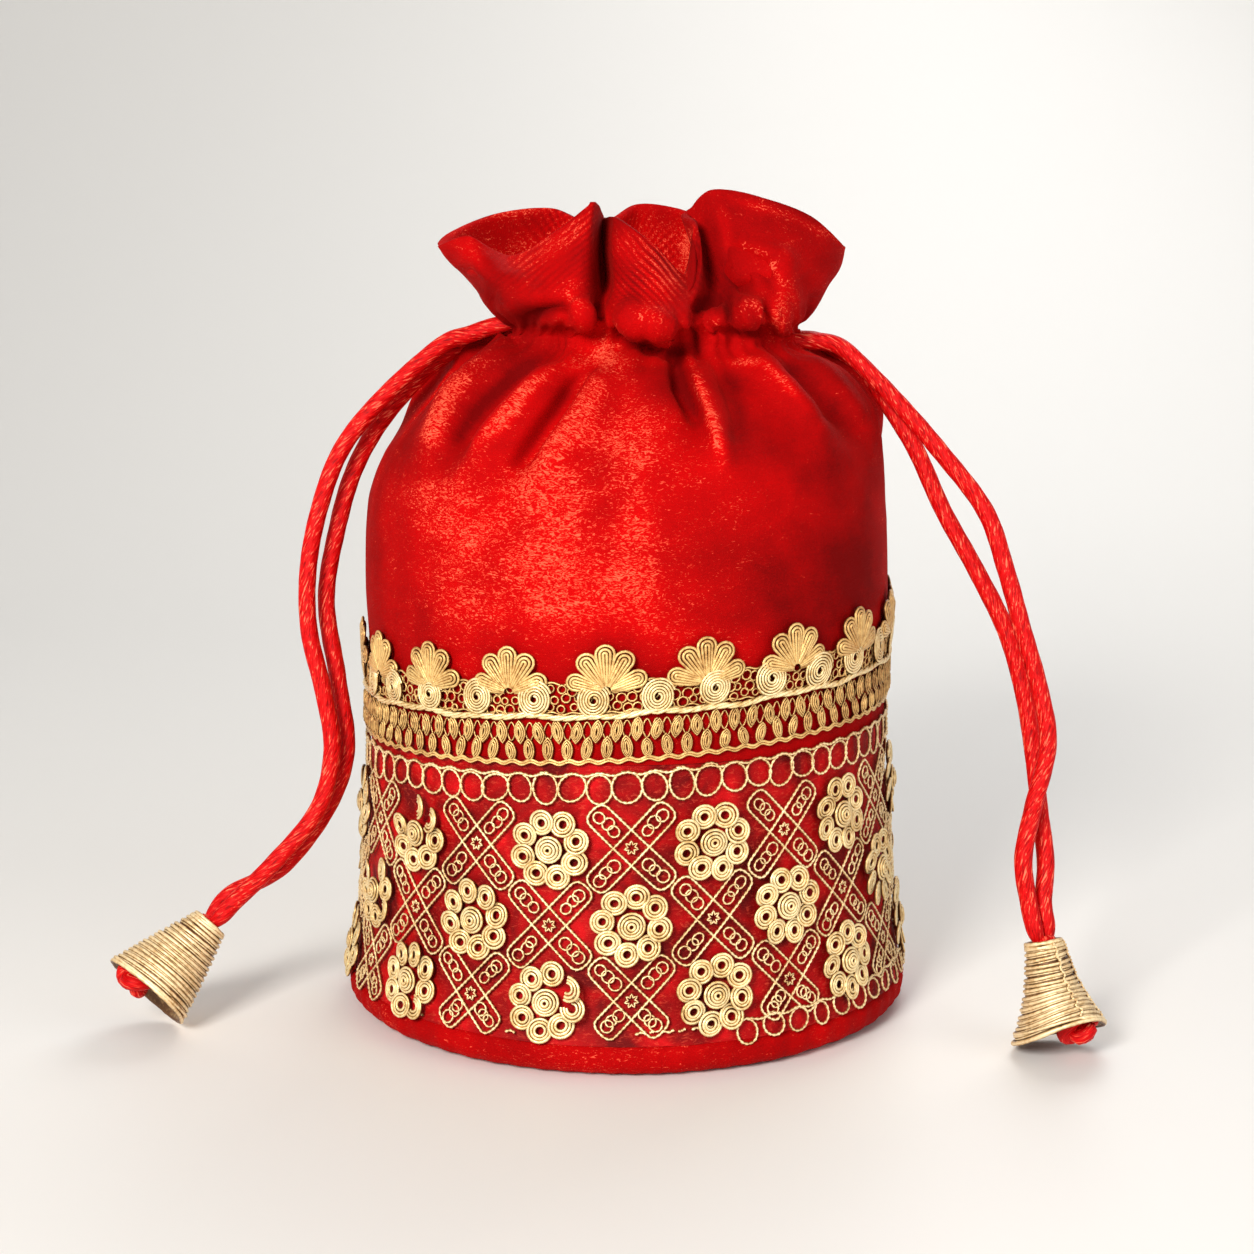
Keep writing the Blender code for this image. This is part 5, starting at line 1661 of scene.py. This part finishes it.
def build_knot(hand, top, axis, lean, drop, aside):
    """Knotted cord ends: a wound knot that shows at the cone's mouth."""
    down, level, other = (np.array(v) for v in axis_frame(axis))
    side = level * math.cos(lean) + other * math.sin(lean)
    middle = np.array(top) + down * drop + side * aside
    t = np.linspace(0.0, 2.0 * np.pi, 91)
    radius = (2.4 + 1.2 * np.cos(3 * t)) * MM
    turn = 2 * t + lean
    path = (middle + down * (2.3 * MM * np.sin(3 * t))[:, None]
            + level * (radius * np.cos(turn))[:, None] + other * (radius * np.sin(turn))[:, None])
    ball, _ = twisted_tube(f"{hand}_knot_loops", path, 0.46 * CORD_DIAMETER)
    start = np.array(top) - down * 0.0010
    stem = np.array([start + (middle - start) * share for share in np.linspace(0.0, 1.0, 14)])
    neck, _ = twisted_tube(f"{hand}_knot_stem", stem, 0.0030)
    return settle(ball, "cord", f"{hand}_knot"), settle(neck, "cord")


tassels = {}
for hand, top, axis, lean, drop, aside in (
        ("left", LEFT_CONE_TOP, LEFT_CONE_AXIS, 1.9, 0.0226, 0.0046),
        ("right", RIGHT_CONE_TOP, RIGHT_CONE_AXIS, 1.15, 0.0222, 0.0048)):
    tassels[hand] = [*build_cone(hand, top, axis), *build_knot(hand, top, axis, lean, drop, aside)]

for piece, hand, leaves, length, path in CORDS:
    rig.cord(piece, exit=leaves, length=length, diameter=CORD_DIAMETER, far_end="fitting",
            stiffness="limp", lay="hanging", path=[tuple(p) for p in path[::6]] + [tuple(path[-1])],
            with_pieces=tassels[hand])


# Stage
FLOOR_TONE = (0.80, 0.79, 0.77, 1.0)
SWEEP_START = 0.55
SWEEP_RADIUS = 0.7
LIGHT_TARGET = (0.0, 0.0, 0.10)
LIGHTS = (
    # name, place, size, power and colour
    ("key", (-0.42, -1.00, 0.62), 0.35, 15.0, (1.0, 0.97, 0.92)),
    ("fill", (0.85, -0.60, 0.45), 0.8, 3.0, (1.0, 0.98, 0.97)),
    ("rim", (0.35, 0.90, 0.90), 0.7, 6.0, (1.0, 1.0, 1.0)),
)


def build_stage():
    """Floor that sweeps up behind the bag."""
    outline = [(-2.0, 0.0), (SWEEP_START, 0.0)]
    for step in range(1, 17):
        bend = math.radians(90) * step / 16
        outline.append((SWEEP_START + SWEEP_RADIUS * math.sin(bend),
                        SWEEP_RADIUS * (1.0 - math.cos(bend))))
    outline.append((SWEEP_START + SWEEP_RADIUS, 2.5))
    points = [(x, y, z) for y, z in outline for x in (-2.5, 2.5)]
    faces = [(2 * k, 2 * k + 1, 2 * k + 3, 2 * k + 2) for k in range(len(outline) - 1)]
    mesh = bpy.data.meshes.new("floor")
    mesh.from_pydata(points, [], faces)
    mesh.shade_smooth()
    mesh.materials.append(new_material("studio_floor", Base_Color=FLOOR_TONE, Roughness=0.55)[0])
    floor = bpy.data.objects.new("floor", mesh)
    floor.location.z = -0.0002
    bpy.context.scene.collection.objects.link(floor)
    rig.stage(floor)


def build_light():
    """Soft studio world, shown a little brighter than it shines, and three lamps."""
    world = bpy.data.worlds.new("studio")
    world.use_nodes = True
    tree = world.node_tree
    lit = tree.nodes["Background"]
    set_inputs(lit, {"Color": (1.0, 0.985, 0.965, 1.0), "Strength": 0.30})
    shown = node(tree, "ShaderNodeBackground", Color=(0.86, 0.855, 0.845, 1.0), Strength=1.0)
    rays = node(tree, "ShaderNodeLightPath")
    seen = rays.outputs["Is Camera Ray"]
    for kind in ("Is Glossy Ray", "Is Transmission Ray"):
        either = node(tree, "ShaderNodeMath")
        either.operation = "MAXIMUM"
        tree.links.new(seen, either.inputs[0])
        tree.links.new(rays.outputs[kind], either.inputs[1])
        seen = either.outputs[0]
    choose = node(tree, "ShaderNodeMixShader")
    for socket, source in zip(choose.inputs, (seen, lit.outputs[0], shown.outputs[0])):
        tree.links.new(source, socket)
    tree.links.new(choose.outputs[0], tree.nodes["World Output"].inputs["Surface"])
    bpy.context.scene.world = world
    for name, place, size, power, colour in LIGHTS:
        data = bpy.data.lights.new(name, "AREA")
        data.shape = "SQUARE"
        data.size = size
        data.energy = power
        data.color = colour
        lamp = bpy.data.objects.new(name, data)
        lamp.location = place
        aim = Vector(LIGHT_TARGET) - Vector(place)
        lamp.rotation_euler = aim.to_track_quat("-Z", "Y").to_euler()
        bpy.context.scene.collection.objects.link(lamp)


build_stage()
build_light()
bpy.context.scene.view_settings.view_transform = "Standard"

new_low, new_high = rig.bounds()
with open("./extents.json", "w") as size_file:
    json.dump({"cad": [list(cad_low), list(cad_high)],
               "visual": [list(new_low), list(new_high)]}, size_file)
